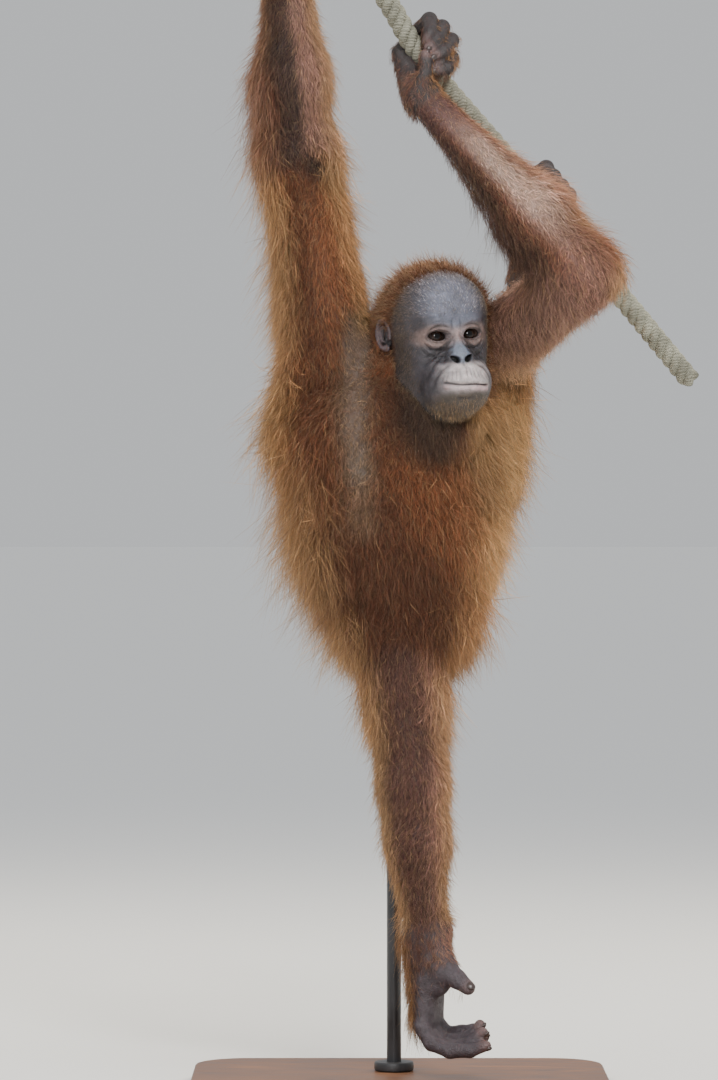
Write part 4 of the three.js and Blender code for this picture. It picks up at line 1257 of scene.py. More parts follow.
@dataclass
class Hide:
    """The skin: one closed surface over the whole body, with the face's folds and lids in it."""

    voxel: float = 0.0046
    ear_voxel: float = 0.0009
    finish: SkinFinish = field(default_factory=SkinFinish)

    def rough(self, form: Form, voxel: float) -> bpy.types.Mesh:
        """Joins a ball or rod for each part of a form and remeshes them as one surface.

        Args:
            form: The form.
            voxel: The size of the new faces.

        Returns:
            The remeshed surface.
        """
        bm = bmesh.new()
        form.add_to(bm)
        holder = new_object("rough", as_mesh(bm, "rough"))
        remesh = holder.modifiers.new("remesh", "REMESH")
        remesh.mode = "VOXEL"
        remesh.voxel_size = voxel
        remesh.adaptivity = 0
        view = holder.evaluated_get(bpy.context.evaluated_depsgraph_get())
        made = bpy.data.meshes.new_from_object(view)
        bpy.data.objects.remove(holder)
        return made

    def refine(self) -> bpy.types.Mesh:
        """Keeps the one large surface, splits the head, hands, feet and face finer, and adds the ears."""
        bm = bmesh.new()
        bm.from_mesh(self.rough(BODY, self.voxel))
        self.keep_largest(bm)
        self.settle(bm, BODY, 3)
        for near in (self.fine_places, self.face_places):
            bm.verts.ensure_lookup_table()
            p = np.array([v.co for v in bm.verts])
            wanted = near(p)
            edges = [e for e in bm.edges if wanted[e.verts[0].index] and wanted[e.verts[1].index]]
            bmesh.ops.subdivide_edges(bm, edges=edges, cuts=1, use_grid_fill=True)
            bm.verts.index_update()
            self.settle(bm, BODY, 2)
        for ear in EARS:
            shell = bmesh.new()
            shell.from_mesh(self.rough(ear.form(), self.ear_voxel))
            self.settle(shell, ear.form(), 4)
            bm.from_mesh(as_mesh(shell, "ear"))
        bmesh.ops.recalc_face_normals(bm, faces=bm.faces)
        for face in bm.faces:
            face.smooth = True
        return as_mesh(bm, "skin")

    def keep_largest(self, bm: bmesh.types.BMesh) -> None:
        """Deletes every surface but the one with the most vertices."""
        bm.verts.index_update()
        seen = set()
        islands = []
        for start in bm.verts:
            if start.index in seen:
                continue
            seen.add(start.index)
            island = [start]
            for vert in island:
                for edge in vert.link_edges:
                    other = edge.other_vert(vert)
                    if other.index not in seen:
                        seen.add(other.index)
                        island.append(other)
            islands.append(island)
        islands.sort(key=len)
        lost = [vert for island in islands[:-1] for vert in island]
        bmesh.ops.delete(bm, geom=lost, context="VERTS")
        bm.verts.index_update()

    def settle(self, bm: bmesh.types.BMesh, form: Form, rounds: int) -> None:
        """Moves every vertex to a form's surface, with a light smoothing first."""
        bmesh.ops.smooth_vert(
            bm, verts=bm.verts, factor=0.4, use_axis_x=True, use_axis_y=True, use_axis_z=True
        )
        p = form.settle(np.array([v.co for v in bm.verts]), rounds, limit=0.006)
        for vert, spot in zip(bm.verts, p):
            vert.co = spot

    def fine_places(self, p: Points) -> Points:
        """True on the head, hands and feet."""
        head = np.linalg.norm(p - HEAD.place(0, 10, -10), axis=1) < 0.105
        fine = head & (p[:, 2] > 0.745)
        for part in HANDS_AND_FEET:
            fine |= PARTS[part].distance(p) < 0.001
        return fine

    def face_places(self, p: Points) -> Points:
        """True on the bare face."""
        q = HEAD.local(p)
        return (q[:, 1] > 36) & (np.abs(q[:, 0]) < 40) & (q[:, 2] < 14) & (q[:, 2] > -88)

    def carve(self, p: Points) -> Points:
        """Adds the folds of the face, the nostrils, the mouth and the openings of the lids."""
        q = HEAD.local(p)
        out, _ = BODY.outward(p)
        near = (q[:, 1] > 24) & (np.abs(q[:, 0]) < 52) & (q[:, 2] < 45) & (q[:, 2] > -92)
        ahead = ease(out @ HEAD.front, 0.05, 0.45)
        lift = sum(fold.lift(q) for fold in FOLDS)
        across = q[:, 0] - FACE.mouth_left
        over = q[:, 2] - FACE.mouth_line(across)
        wide = 1 - ease(np.abs(across), FACE.mouth_half - 3, FACE.mouth_half + 2)
        lift += wide * 2.2 * np.exp(-(((over - 4.2) / 3.4) ** 2))
        lift += wide * 2.4 * np.exp(-(((over + 4.4) / 3.4) ** 2))
        lift -= wide * 3.0 * np.exp(-((over / 1.0) ** 2))
        p = p + out * (np.where(near, lift * ahead, 0) / 1000)[:, None]
        return self.open_lids(self.open_nostrils(p))

    def open_nostrils(self, p: Points) -> Points:
        """Presses the two nostrils in."""
        q = HEAD.local(p)
        for side in (-1, 1):
            off = FACE.nostril(q, side)
            deep = 8.0 * (1 - ease(off, 0.6, 1.1)) * (q[:, 1] > 52)
            p = p - HEAD.front * (deep / 1000)[:, None]
        return p

    def open_lids(self, p: Points) -> Points:
        """Draws the lids' rims to an even line, and sinks the skin behind each opening."""
        q = HEAD.local(p)
        for side in (-1, 1):
            x = (q[:, 0] - side * FACE.eye_apart) * side
            y = q[:, 2] - FACE.eye_up - 0.08 * x
            high = np.where(y > 0, FACE.opening_above, FACE.opening_below)
            off = np.maximum(np.hypot(x / FACE.opening_half, y / high), 1e-6)
            near = (q[:, 1] > 38) & (off < 1.6)
            rim = near & (off > 0.82) & (off < 1.16)
            inside = near & (off <= 0.82)
            grow = np.where(rim, 1 / off, 1.0)
            shift = np.where(rim, grow - 1, 0)
            q[:, 0] += x * shift * side
            q[:, 2] += y * shift
            reach = FACE.eye_radius + 0.5
            flat = (q[:, 0] - side * FACE.eye_apart) ** 2 + (q[:, 2] - FACE.eye_up) ** 2
            on_ball = FACE.eye_front + np.sqrt(np.maximum(reach**2 - flat, 0))
            q[:, 1] = np.where(rim, on_ball, q[:, 1])
            q[:, 1] = np.where(inside, on_ball - 5, q[:, 1])
            fold = near & ~rim & ~inside & (off < 1.5)
            q[:, 1] += np.where(fold, 0.8 * np.sin(np.pi * np.clip((off - 1.1) / 0.4, 0, 1)), 0)
        return HEAD.middle + (q[:, :1] * HEAD.left + q[:, 1:2] * HEAD.front + q[:, 2:] * HEAD.up) / 1000

    def tint(self, p: Points) -> Points:
        """The skin's colours: the coat's tones, with their painted light and shade, under the hair, and the
        bare skin's elsewhere.
        """
        part = nearest_part(p)
        out, _ = BODY.outward(p)
        colour = coat_tint(p, part, out) * 0.55
        colour = mix(colour, TONES.palm, np.where(is_on(part, HANDS_AND_FEET), 1.0, 0.0))
        colour = mix(colour, TONES.sole, np.where(part == Part.RIGHT_FOOT.value, 0.9, 0.0))
        for digit in ALL_DIGITS:
            colour = mix(colour, TONES.tip, 0.7 * ball_mask(p, digit.spots[-1], 4, 8))
        return self.tint_face(p, part, colour)

    def tint_face(self, p: Points, part: Points, colour: Points) -> Points:
        """Paints the bare face, and the ears, over the skin's colours, with painted shade in the creases, the
        openings and on the head's sides, and painted highlights on the brow and nose.
        """
        q = HEAD.local(p)
        bare = np.where(is_on(part, (Part.HEAD, Part.EARS)), 1.0, 0.0)
        ear_part = np.where(part == Part.EARS.value, 1.0, 0.0)
        # The forehead's bluish brow tone: its skin's colour, lightened on the dome as painted sheen.
        dome = (1 - ease(np.hypot(q[:, 0] / 40, (q[:, 2] - 28) / 34), 0.45, 1.1)) * (q[:, 1] > 10)
        face = mix(np.tile(TONES.slate, (len(p), 1)), TONES.brow, 0.9 * dome)
        bridge = (1 - ease(np.abs(q[:, 2] + 14), 8, 26)) * (1 - ease(np.abs(q[:, 0]), 5, 14))
        face = mix(face, TONES.blue, 0.75 * bridge * (q[:, 1] > 40))
        muzzle = (1 - ease(np.abs(q[:, 0] - 4), 10, 38)) * ease(-q[:, 2], 35, 43)
        muzzle = muzzle * (1 - ease(-q[:, 2], 63, 76))
        face = mix(face, TONES.muzzle, 0.9 * muzzle * (q[:, 1] > 30))
        for side in (-1, 1):
            x = q[:, 0] - side * FACE.eye_apart
            y = q[:, 2] - FACE.eye_up
            off = np.hypot(x / FACE.opening_half, y / 5)
            ring = ease(off, 0.9, 1.2) * (1 - ease(off, 1.7, 3.1))
            face = mix(face, TONES.ring, 0.62 * ring * (q[:, 1] > 36))
            crease = ease(off, 1.12, 1.25) * (1 - ease(off, 1.3, 1.5))
            face = mix(face, TONES.shade, 0.6 * crease * (q[:, 1] > 40))
            face = mix(face, TONES.shade, 0.8 * (1 - ease(off, 0.9, 1.02)) * (q[:, 1] > 40))
        # Partly painted highlight: the nose's blue-grey skin tone, laid paler over its tip and wings as
        # shine.
        nose = (1 - ease(np.hypot(q[:, 0] / 11, (q[:, 2] + 31) / 8), 0.7, 1.3)) * (q[:, 1] > 50)
        face = mix(face, TONES.blue, 0.7 * nose)
        across = q[:, 0] - FACE.mouth_left
        over = q[:, 2] - FACE.mouth_line(across)
        wide = 1 - ease(np.abs(across), FACE.mouth_half - 2, FACE.mouth_half + 3)
        pink = 0.35 + 0.45 * ease(across, -6, 14)
        face = mix(face, TONES.lip, pink * wide * np.exp(-(((over + 3.5) / 3.0) ** 2)))
        face = mix(face, TONES.shade * 0.6, 0.95 * wide * np.exp(-((over / 0.95) ** 2)))
        chin = (1 - ease(np.abs(q[:, 0]), 20, 40)) * ease(-q[:, 2], 66, 75)
        face = mix(face, TONES.chin, 0.85 * chin * (q[:, 1] > 20))
        lift = sum(fold.lift(q) * (fold.height < 0) for fold in FOLDS)
        face = mix(face, TONES.shade, np.clip(-lift * 0.45, 0, 0.8) * (q[:, 1] > 30))
        face *= (1 + 0.10 * grain(p, 500, 8))[:, None]
        for side in (-1, 1):
            inside = 1 - ease(FACE.nostril(q, side), 0.8, 1.08)
            face = mix(face, TONES.shade * 0.12, inside * (q[:, 1] > 52))
        # Painted highlight: broad patches that lighten and darken the dome, as its shine.
        face *= (1 + 0.16 * dome * grain(p, 160, 9))[:, None]
        for ear in EARS:
            depth = ear.facing().local(p)
            rim = ease(depth[:, 0], 0.2, 3.2) * ear_part
            cup = mix(np.tile(TONES.shade, (len(p), 1)), TONES.ear, rim)
            face = mix(face, cup, ear_part * (np.abs(depth[:, 0]) < 14))
        on_head = part == Part.HEAD.value
        # Painted shade: the sides of the head, where they turn away from the front, darkened towards grey.
        face = mix(face, TONES.grey * 0.8, 0.6 * ease(turned_aside(q), 48, 80) * on_head)
        behind = np.where(on_head, ease(hairline(q), -8, 6), 0.0)
        under = mix(face, coat_tint(p, part, BODY.outward(p)[0]) * 0.5, behind)
        return mix(colour, under, bare)

    def make(self, name: str) -> bpy.types.Object:
        """Builds, carves and paints the skin, and lets it stand for the body's nodes."""
        mesh = self.refine()
        plain = mesh_points(mesh)
        p = self.carve(plain)
        mesh.vertices.foreach_set("co", p.astype(np.float32).ravel())
        paint(mesh, self.tint(plain))
        mesh.update()
        piece = mesh_object(name, mesh, self.finish.material())
        nodes = [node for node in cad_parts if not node.startswith(("stand_", "rope", "eye_"))]
        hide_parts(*nodes)
        return piece


ALL_DIGITS = (
    *LEFT_FINGERS,
    LEFT_THUMB,
    *RIGHT_FINGERS,
    RIGHT_THUMB,
    *LEFT_TOES,
    LEFT_HALLUX,
    *RIGHT_TOES,
    RIGHT_HALLUX,
)


def turned_aside(q: Points) -> Points:
    """How far round the head each of its points lies from the middle of the face, in degrees."""
    return np.degrees(np.arctan2(np.abs(q[:, 0]), q[:, 1] - 8))


def hairline(q: Points) -> Points:
    """How far behind the hairline each point of the head lies, in millimetres, below zero on the bare face.

    Args:
        q: Points in the head's own millimetres.

    Returns:
        One distance for each point.
    """
    ahead, aside, over = q[:, 1] - 8, q[:, 0], q[:, 2] + 16
    lean = np.degrees(np.arctan2(np.hypot(aside, over), ahead))
    share = over / np.maximum(np.hypot(aside, over), 1e-6)
    side = np.where(aside > 0, 76, 98)
    edge = np.where(share > 0, side - (side - 72) * np.abs(share) ** 1.3, side - (side - 84) * share**2)
    return (lean - edge) * 1.1


# The coat.


class Kind(Enum):
    """The kinds of hair: the coat's own, and the short down of the face."""

    COAT = "coat"
    DOWN = "down"


@dataclass(frozen=True)
class Growth:
    """How the hair grows on a part: tufts, and their length, rise and width in millimetres."""

    part: Part
    tufts: int
    length: float
    rise: float
    width: float
    frizz: float = 0.10
    clump: float = 0.45
    flare: float = 0.18
    kind: Kind = Kind.COAT


@dataclass(frozen=True)
class Strands:
    """Grown hair: paths, directions across them, radii, colours and places on the chart, tuft by tuft."""

    paths: Points
    sides: Points
    outs: Points
    radii: Points
    tints: Points
    charts: Points

    def part(self, chosen: Points) -> "Strands":
        """Some of the tufts."""
        rows = (self.paths, self.sides, self.outs, self.radii, self.tints, self.charts)
        return Strands(*(row[chosen] for row in rows))


@dataclass
class Coat:
    """The hair: three-sided tufts, pointed at both ends, over the skin, joined into a few meshes.

    A piece holds at most `most` tufts. About `lock` neighbouring tufts lean towards the same leader, as
    in a lock of hair. The share `strays` of the tufts grows longer and stands out more.
    """

    growths: tuple[Growth, ...]
    finish: CoatFinish = field(default_factory=CoatFinish)
    seed: int = 7
    most: int = 33000
    lock: int = 12
    strays: float = 0.2
    stray_length: float = 1.3
    stray_flare: float = 2.2
    root_depth: float = 0.0012
    chart_patch: float = 0.003

    def roots(self, mesh: bpy.types.Mesh) -> dict[Growth, tuple[Points, Points]]:
        """Draws places on the skin for every part.

        Args:
            mesh: The skin before the face is carved.

        Returns:
            For each growth, the roots and the directions out of the skin.
        """
        mesh.calc_loop_triangles()
        corners = np.empty(len(mesh.loop_triangles) * 3, np.int32)
        mesh.loop_triangles.foreach_get("vertices", corners)
        p = mesh_points(mesh)[corners.reshape(-1, 3)]
        middle = p.mean(axis=1)
        area = np.linalg.norm(np.cross(p[:, 1] - p[:, 0], p[:, 2] - p[:, 0]), axis=1) / 2
        part = nearest_part(middle)
        out, _ = BODY.outward(middle)
        draw = np.random.default_rng(self.seed)
        found = {}
        for growth in self.growths:
            weight = area * (part == growth.part.value) * self.thickness(growth, middle, out)
            weight /= weight.sum()
            chosen = draw.choice(len(weight), growth.tufts, p=weight)
            share = draw.random((growth.tufts, 2))
            flip = share.sum(axis=1) > 1
            share[flip] = 1 - share[flip]
            a, b, c = (p[chosen, i] for i in range(3))
            spots = a + (b - a) * share[:, :1] + (c - a) * share[:, 1:]
            found[growth] = (spots, out[chosen])
        return found

    def thickness(self, growth: Growth, p: Points, out: Points) -> Points:
        """How thick the coat is at each place, from 0 on bare skin to 1."""
        part = growth.part
        if part is Part.HEAD:
            q = HEAD.local(p)
            by_ear = np.minimum(*(off_spot(p, ear.middle()) for ear in EARS))
            clear = 0.05 + 0.95 * ease(by_ear, 11, 21)
            if growth.kind is Kind.COAT:
                return ease(hairline(q), -5, 8) * clear + 1e-5
            aside = ease(turned_aside(q), 36, 66)
            chin = ease(-q[:, 2], 70, 80)
            open_face = np.hypot(q[:, 0] / 40, (q[:, 2] + 32) / 38)
            bare = 1 - ease(open_face, 0.85, 1.15) * (1 - chin)
            dome = 0.6 * ease(q[:, 2], 8, 20)
            return np.maximum(np.maximum(aside, 0.5 * chin), dome) * (1 - bare * (1 - chin)) * clear + 1e-5
        if part in HANDS_AND_FEET:
            return self.on_backs(part, p, out)
        bare = front_mask(p, ((-47, 850), (-50, 728), (-45, 680)), 5, 12) * (out[:, 1] < 0)
        return np.clip(1 - 0.55 * bare, 0.03, 1)

    def on_backs(self, part: Part, p: Points, out: Points) -> Points:
        """The thickness on a hand or foot: sparse on its back, none on its palm or digits' ends."""
        knuckles = RIGHT_GRIP.beside(0, 270, 1) - RIGHT_GRIP.beside(0, 90, 1)
        wrist, back, reach = {
            Part.RIGHT_HAND: (JOINT.right_wrist, knuckles, 24),
            Part.LEFT_HAND: (JOINT.left_wrist, mm(-0.9, 0.5, 0.1), 26),
            Part.RIGHT_FOOT: (JOINT.right_ankle, -SOLE, 34),
            Part.LEFT_FOOT: (JOINT.left_ankle, -mm(0.1, -1, 0), 44),
        }[part]
        off = off_spot(p, wrist)
        facing = ease(out @ unit(back), -0.1, 0.6)
        if part is Part.LEFT_HAND:
            facing = np.maximum(facing, 0.8 * ease(out[:, 0], 0.3, 0.9))
        thumb = RIGHT_HALLUX.form().distance(p) * 1000
        facing = facing * (0.15 + 0.85 * ease(thumb, 2, 8))
        far = 1 - ease(off, 78, 112) if part is Part.RIGHT_FOOT else 1 - 0.7 * ease(off, 60, 95)
        return np.maximum(facing * far, 1 - ease(off, reach, reach + 18)) + 1e-6

    def lie(self, growth: Growth, p: Points, out: Points, draw: np.random.Generator) -> Points:
        """The direction in which the hair lies at each root."""
        lie = np.tile(DOWN, (len(p), 1))
        if growth.part is Part.HEAD:
            q = HEAD.local(p)
            away = unit(q[:, :1] * HEAD.left + (q[:, 2:] + 30) * HEAD.up)
            lie = unit(-0.7 * HEAD.front + 0.55 * away + 0.35 * DOWN * (q[:, 2:] < 20))
            if growth.kind is Kind.DOWN:
                lie = unit(-0.4 * HEAD.front + 0.3 * away + 0.9 * DOWN * (q[:, 2:] < 10))
        if growth.part is Part.LEFT_ARM:
            lie = unit(0.6 * DOWN + 0.8 * unit(JOINT.left_elbow - JOINT.left_wrist))
        if growth.part is Part.NECK:
            lie = unit(DOWN + 0.25 * (p - mm(40, -40, 790)) / 0.08)
        if growth.part in HANDS_AND_FEET:
            lie = unit(lie + 0.3 * out)
        turn = draw.normal(size=(len(p), 3)) * growth.frizz * 2.2
        swirl = np.stack([grain(p, 45, 20 + axis) for axis in range(3)], axis=-1) * 0.18
        return unit(lie + turn + swirl)

    def grow(self, growth: Growth, roots: Points, out: Points) -> Strands:
        """Lets the tufts of a part grow from their roots, over the skin and down.

        Args:
            growth: The part's sizes.
            roots: Where the tufts start.
            out: The directions out of the skin there.

        Returns:
            The grown tufts.
        """
        draw = np.random.default_rng(self.seed + growth.part.value + growth.tufts)
        count = len(roots)
        lie = self.lie(growth, roots, out, draw)
        local = self.local_length(growth, roots, out)
        stray = draw.random((count, 1)) < self.strays
        guard = np.where(stray[:, 0], self.stray_length, 1.0)
        length = growth.length / 1000 * draw.uniform(0.6, 1.2, count) * local * guard
        rise = growth.rise / 1000 * draw.uniform(0.25, 1.1, count) * local * guard
        curl = draw.normal(size=(count, 3)) * growth.frizz
        p = roots - out * self.root_depth
        paths = [p]
        outs = [out]
        here = out
        for step in (1, 2):
            slide = lie - here * (lie * here).sum(axis=1, keepdims=True)
            hang = np.clip(here @ DOWN, 0, 1)[:, None] ** 2 * (0.3 if growth.part is Part.LEFT_ARM else 1.0)
            flare = growth.flare * draw.uniform(0.4, 1.6, (count, 1)) * np.where(stray, self.stray_flare, 1)
            ahead = unit(unit(slide + 1e-6) * (1 - hang) + DOWN * hang + here * flare)
            ahead = unit(ahead + draw.normal(size=(count, 3)) * growth.frizz * 0.5 + curl * (step - 1.2))
            p = p + ahead * (length / 2)[:, None]
            here, over = BODY.outward(p)
            low = rise * (0.2, 0.7)[step - 1]
            high = rise * (0.8, 1.5)[step - 1] + hang[:, 0] * length
            p = p + here * (np.clip(over, low, high) - over)[:, None]
            paths.append(p)
            outs.append(here)
        paths = np.stack(paths, axis=1)
        outs = np.stack(outs, axis=1)
        paths = self.gather(paths, growth, draw)
        along = unit(np.gradient(paths, axis=1))
        sides = unit(np.cross(outs, along))
        turn = draw.uniform(-0.9, 0.9, (count, 1, 1))
        sides, outs = sides * np.cos(turn) + outs * np.sin(turn), outs * np.cos(turn) - sides * np.sin(turn)
        radii = growth.width / 2000 * draw.uniform(0.6, 1.5, count)
        tints = self.tints(growth, roots, out, draw)
        return Strands(paths, sides, outs, radii, tints, self.chart(roots, growth))

    def local_length(self, growth: Growth, p: Points, out: Points) -> Points:
        """How the length changes over a part, as a share.

        Args:
            growth: The part's sizes.
            p: The roots.
            out: The directions out of the skin there.

        Returns:
            One share for each root.
        """
        z = p[:, 2] * 1000
        edge = ease(np.abs(out[:, 0]), 0.3, 0.9)
        worn = 1 - 0.6 * front_mask(p, WORN_BAND, 8, 14) * (out[:, 1] < 0)
        if growth.part is Part.TORSO:
            front = ease(out @ CHEST.front, 0.2, 0.9)
            low = 1 - ease(z, 540, 600)
            flank = np.where(out[:, 0] < 0, 1.0, 0.7) * edge * ease(z, 480, 540) * (1 - ease(z, 760, 840))
            flank = flank + 0.7 * edge * (out[:, 0] < 0) * ease(z, 540, 590) * (1 - ease(z, 680, 740))
            return worn * (1 - 0.3 * front * ease(z, 560, 700) + 0.3 * low * edge + flank)
        if growth.part in (Part.LEFT_ARM, Part.RIGHT_ARM):
            wrist = JOINT.left_wrist if growth.part is Part.LEFT_ARM else JOINT.right_wrist
            down = off_spot(p, wrist)
            near = 0.45 + 0.55 * ease(down, 20, 150)
            fringe = 0.6 * ease(np.abs(out @ UNDER_LEFT_ARM), 0.3, 0.9) * ease(down, 50, 130)
            if growth.part is Part.RIGHT_ARM:
                outer = ease(-out[:, 0], 0.3, 0.9) * ease(z, 700, 800) * (1 - ease(z, 1080, 1190))
                inner = 0.6 * ease(out[:, 0], 0.3, 0.9) * ease(z, 900, 980) * (1 - ease(z, 1040, 1100))
                fringe = outer + inner
            return worn * near * (1 + 1.5 * fringe) * (1 - 0.25 * ease(-out[:, 1], 0.3, 0.9))
        if growth.part is Part.RIGHT_LEG:
            sides = 1 - 0.3 * ease(-out[:, 1], 0.3, 0.9)
            return sides * (1 + 1.2 * ease(z, 370, 450) * edge)
        if growth.part is Part.HEAD and growth.kind is Kind.COAT:
            return 0.3 + 0.7 * ease(hairline(HEAD.local(p)), -6, 14)
        if growth.part is Part.RIGHT_FOOT:
            return 1 + 1.4 * ease(-(out @ SOLE), 0.2, 0.8)
        return np.ones(len(p))

    def gather(self, paths: Points, growth: Growth, draw: np.random.Generator) -> Points:
        """Draws neighbouring tufts together towards their tips, as locks do."""
        count = len(paths)
        leaders = draw.choice(count, max(count // self.lock, 1), replace=False)
        tree = KDTree(len(leaders))
        for i, leader in enumerate(leaders):
            tree.insert(paths[leader, 0], i)
        tree.balance()
        leader = leaders[[tree.find(spot)[1] for spot in paths[:, 0]]]
        shares = np.array((0, 0.5, 1.0))[None, :, None] * growth.clump
        shares = shares * draw.uniform(0.3, 1.3, (count, 1, 1))
        return paths + (paths[leader] - paths) * shares

    def tints(self, growth: Growth, roots: Points, out: Points, draw: np.random.Generator) -> Points:
        """The colours of each tuft at its root, its ring and its tip: darker at the root as painted shade,
        brighter and golder at the tip as painted light.
        """
        count = len(roots)
        part = np.full(count, growth.part.value)
        base = coat_tint(roots, part, out)
        if growth.kind is Kind.DOWN:
            q = HEAD.local(roots)
            base = np.tile(TONES.grey, (count, 1))
            base = mix(base, TONES.down, ease(q[:, 2], 4, 20) * (1 - ease(np.abs(q[:, 0]), 20, 50)))
            beard = ease(-q[:, 2], 70, 80) * (1 - ease(np.abs(q[:, 0]), 20, 45))
            base = mix(base, TONES.gold * 0.6, 0.4 * beard)
        base = base * np.exp(draw.normal(0, 0.34 if growth.kind is Kind.COAT else 0.6, (count, 1)))
        light = ease(base.mean(axis=1), 0.015, 0.09)
        if growth.kind is Kind.COAT:
            base = mix(base, TONES.gold, (draw.random(count) < 0.09) * 0.45 * light)
        # Painted shade and light along each tuft: the root at half value, as shade deep in the coat, and the
        # tip brighter and mixed towards gold, as backlit hair.
        shares = ((0.5, 0.0), (1.0, 0.0), (1.4, 0.14))
        return np.stack([mix(base * value, TONES.gold, gold * light) for value, gold in shares], axis=1)

    def chart(self, p: Points, growth: Growth) -> Points:
        """Each root's place on an unwrap of its part: the turn round it, and the run along it."""
        start, end = AXES[growth.part]
        axis = unit(end - start)
        aside = unit(np.cross(axis, np.array((0.3, 1.0, 0.2))))
        other = np.cross(axis, aside)
        q = p - start
        turn = np.arctan2(q @ other, q @ aside) / (2 * math.pi) + 0.5
        run = (q @ axis) / np.linalg.norm(end - start)
        low, high = run.min(), run.max()
        return np.stack([0.01 + 0.98 * turn, 0.01 + 0.98 * (run - low) / max(high - low, 1e-6)], axis=-1)

    def mesh(self, name: str, strands: Strands) -> bpy.types.Mesh:
        """Joins tufts into one mesh: a root, a ring of three corners and a tip for each.

        Args:
            name: The mesh's name.
            strands: The tufts.

        Returns:
            The mesh, with its colours and its bake map.
        """
        count = len(strands.paths)
        verts = np.empty((count, 5, 3))
        half = strands.radii[:, None]
        verts[:, 0] = strands.paths[:, 0]
        verts[:, 1] = strands.paths[:, 1] - strands.sides[:, 1] * half
        verts[:, 2] = strands.paths[:, 1] + strands.sides[:, 1] * half
        verts[:, 3] = strands.paths[:, 1] + strands.outs[:, 1] * half * 1.1
        verts[:, 4] = strands.paths[:, 2]
        pattern = np.array([(2, 1, 0), (3, 2, 0), (1, 3, 0), (1, 2, 4), (2, 3, 4), (3, 1, 4)])
        corners = (pattern[None] + (np.arange(count) * 5)[:, None, None]).reshape(-1)
        mesh = bpy.data.meshes.new(name)
        mesh.vertices.add(count * 5)
        mesh.vertices.foreach_set("co", verts.astype(np.float32).ravel())
        total = count * len(pattern)
        mesh.loops.add(total * 3)
        mesh.loops.foreach_set("vertex_index", corners.astype(np.int32))
        mesh.polygons.add(total)
        mesh.polygons.foreach_set("loop_start", np.arange(0, total * 3, 3, dtype=np.int32))
        mesh.polygons.foreach_set("use_smooth", np.ones(total, bool))
        mesh.update(calc_edges=True)
        outline = np.array([(1, 0), (0, 1), (2, 1), (1, 1.3), (1, 2)]) / 2
        spots = outline * self.chart_patch - self.chart_patch / 2
        chart = mesh.uv_layers.new(name="OFBake")
        uv = (strands.charts[:, None, None, :] + spots[pattern][None]).reshape(-1, 2)
        chart.data.foreach_set("uv", np.clip(uv, 0, 1).astype(np.float32).ravel())
        rings = np.array([0, 1, 1, 1, 2])
        paint(mesh, strands.tints[:, rings].reshape(-1, 3))
        return mesh

    def make(self, mesh: bpy.types.Mesh) -> None:
        """Grows the whole coat over the skin, a piece or a few for each part."""
        material = self.finish.material()
        for growth, (roots, out) in self.roots(mesh).items():
            strands = self.grow(growth, roots, out)
            pieces = math.ceil(growth.tufts / self.most)
            order = np.argsort(strands.charts[:, 0], kind="stable")
            for i, chosen in enumerate(np.array_split(order, pieces)):
                name = f"{growth.kind.value}_{growth.part.name.lower()}" + (f"_{i + 1}" if pieces > 1 else "")
                piece = mesh_object(name, self.mesh(name, strands.part(chosen)), material)


AXES = {
    Part.TORSO: (mm(8, 8, 480), mm(2, 6, 850)),
    Part.NECK: (mm(40, -40, 730), mm(36, -36, 840)),
    Part.HEAD: (HEAD.place(0, 0, -60), HEAD.place(0, 0, 60)),
    Part.RIGHT_ARM: (JOINT.right_shoulder, JOINT.right_wrist),
    Part.LEFT_ARM: (JOINT.left_elbow, JOINT.left_wrist),
    Part.RIGHT_LEG: (JOINT.right_hip, JOINT.right_ankle),
    Part.LEFT_LEG: (JOINT.left_hip, JOINT.left_ankle),
    Part.RIGHT_HAND: (JOINT.right_wrist, RIGHT_GRIP.middle),
    Part.LEFT_HAND: (JOINT.left_wrist, mm(20, -30, 1150)),
    Part.RIGHT_FOOT: (JOINT.right_ankle, on_foot(0, 0, 60)),
    Part.LEFT_FOOT: (JOINT.left_ankle, LEFT_FOOT_GRIP.middle),
}

GROWTHS = (
    Growth(Part.TORSO, 85000, 34, 22, 0.5, 0.2, 0.14, 0.5),
    Growth(Part.NECK, 12000, 20, 9, 0.44, 0.12, 0.14, 0.35),
    Growth(Part.HEAD, 15500, 29, 18, 0.42, 0.22, 0.2, 0.6),
    Growth(Part.HEAD, 19500, 5.5, 2.0, 0.24, 0.12, 0.1, 0.35, Kind.DOWN),
    Growth(Part.RIGHT_ARM, 36000, 25, 12, 0.46, 0.17, 0.14, 0.4),
    Growth(Part.LEFT_ARM, 27500, 21, 8, 0.42, 0.17, 0.14, 0.4),
    Growth(Part.RIGHT_LEG, 25000, 26, 11, 0.46, 0.18, 0.14, 0.4),
    Growth(Part.LEFT_LEG, 8000, 30, 14, 0.5, 0.2, 0.16, 0.4),
    Growth(Part.RIGHT_HAND, 2000, 12, 5, 0.36, 0.2),
    Growth(Part.LEFT_HAND, 5000, 13, 6, 0.36, 0.2),
    Growth(Part.RIGHT_FOOT, 5000, 14, 7, 0.36, 0.2),
    Growth(Part.LEFT_FOOT, 2500, 12, 5, 0.36, 0.2),
)


# Eyes, nails, rope and stand.


@dataclass(frozen=True)
class EyeFinish:
    """A wet eye, coloured by rings about its own front."""

    def material(self) -> bpy.types.Material:
        """Builds the finish."""
        n = Nodes("eye")
        colour = n.add("ShaderNodeAttribute", attribute_name="tint").outputs["Color"]
        fibres = n.noise(2600, 3, n.place())
        n.link(n.shade(colour, n.spread(fibres, 0.8, 1.25)), n.shader.inputs["Base Color"])
        n.set(Roughness=0.05, Specular_IOR_Level=0.3)
        return n.material


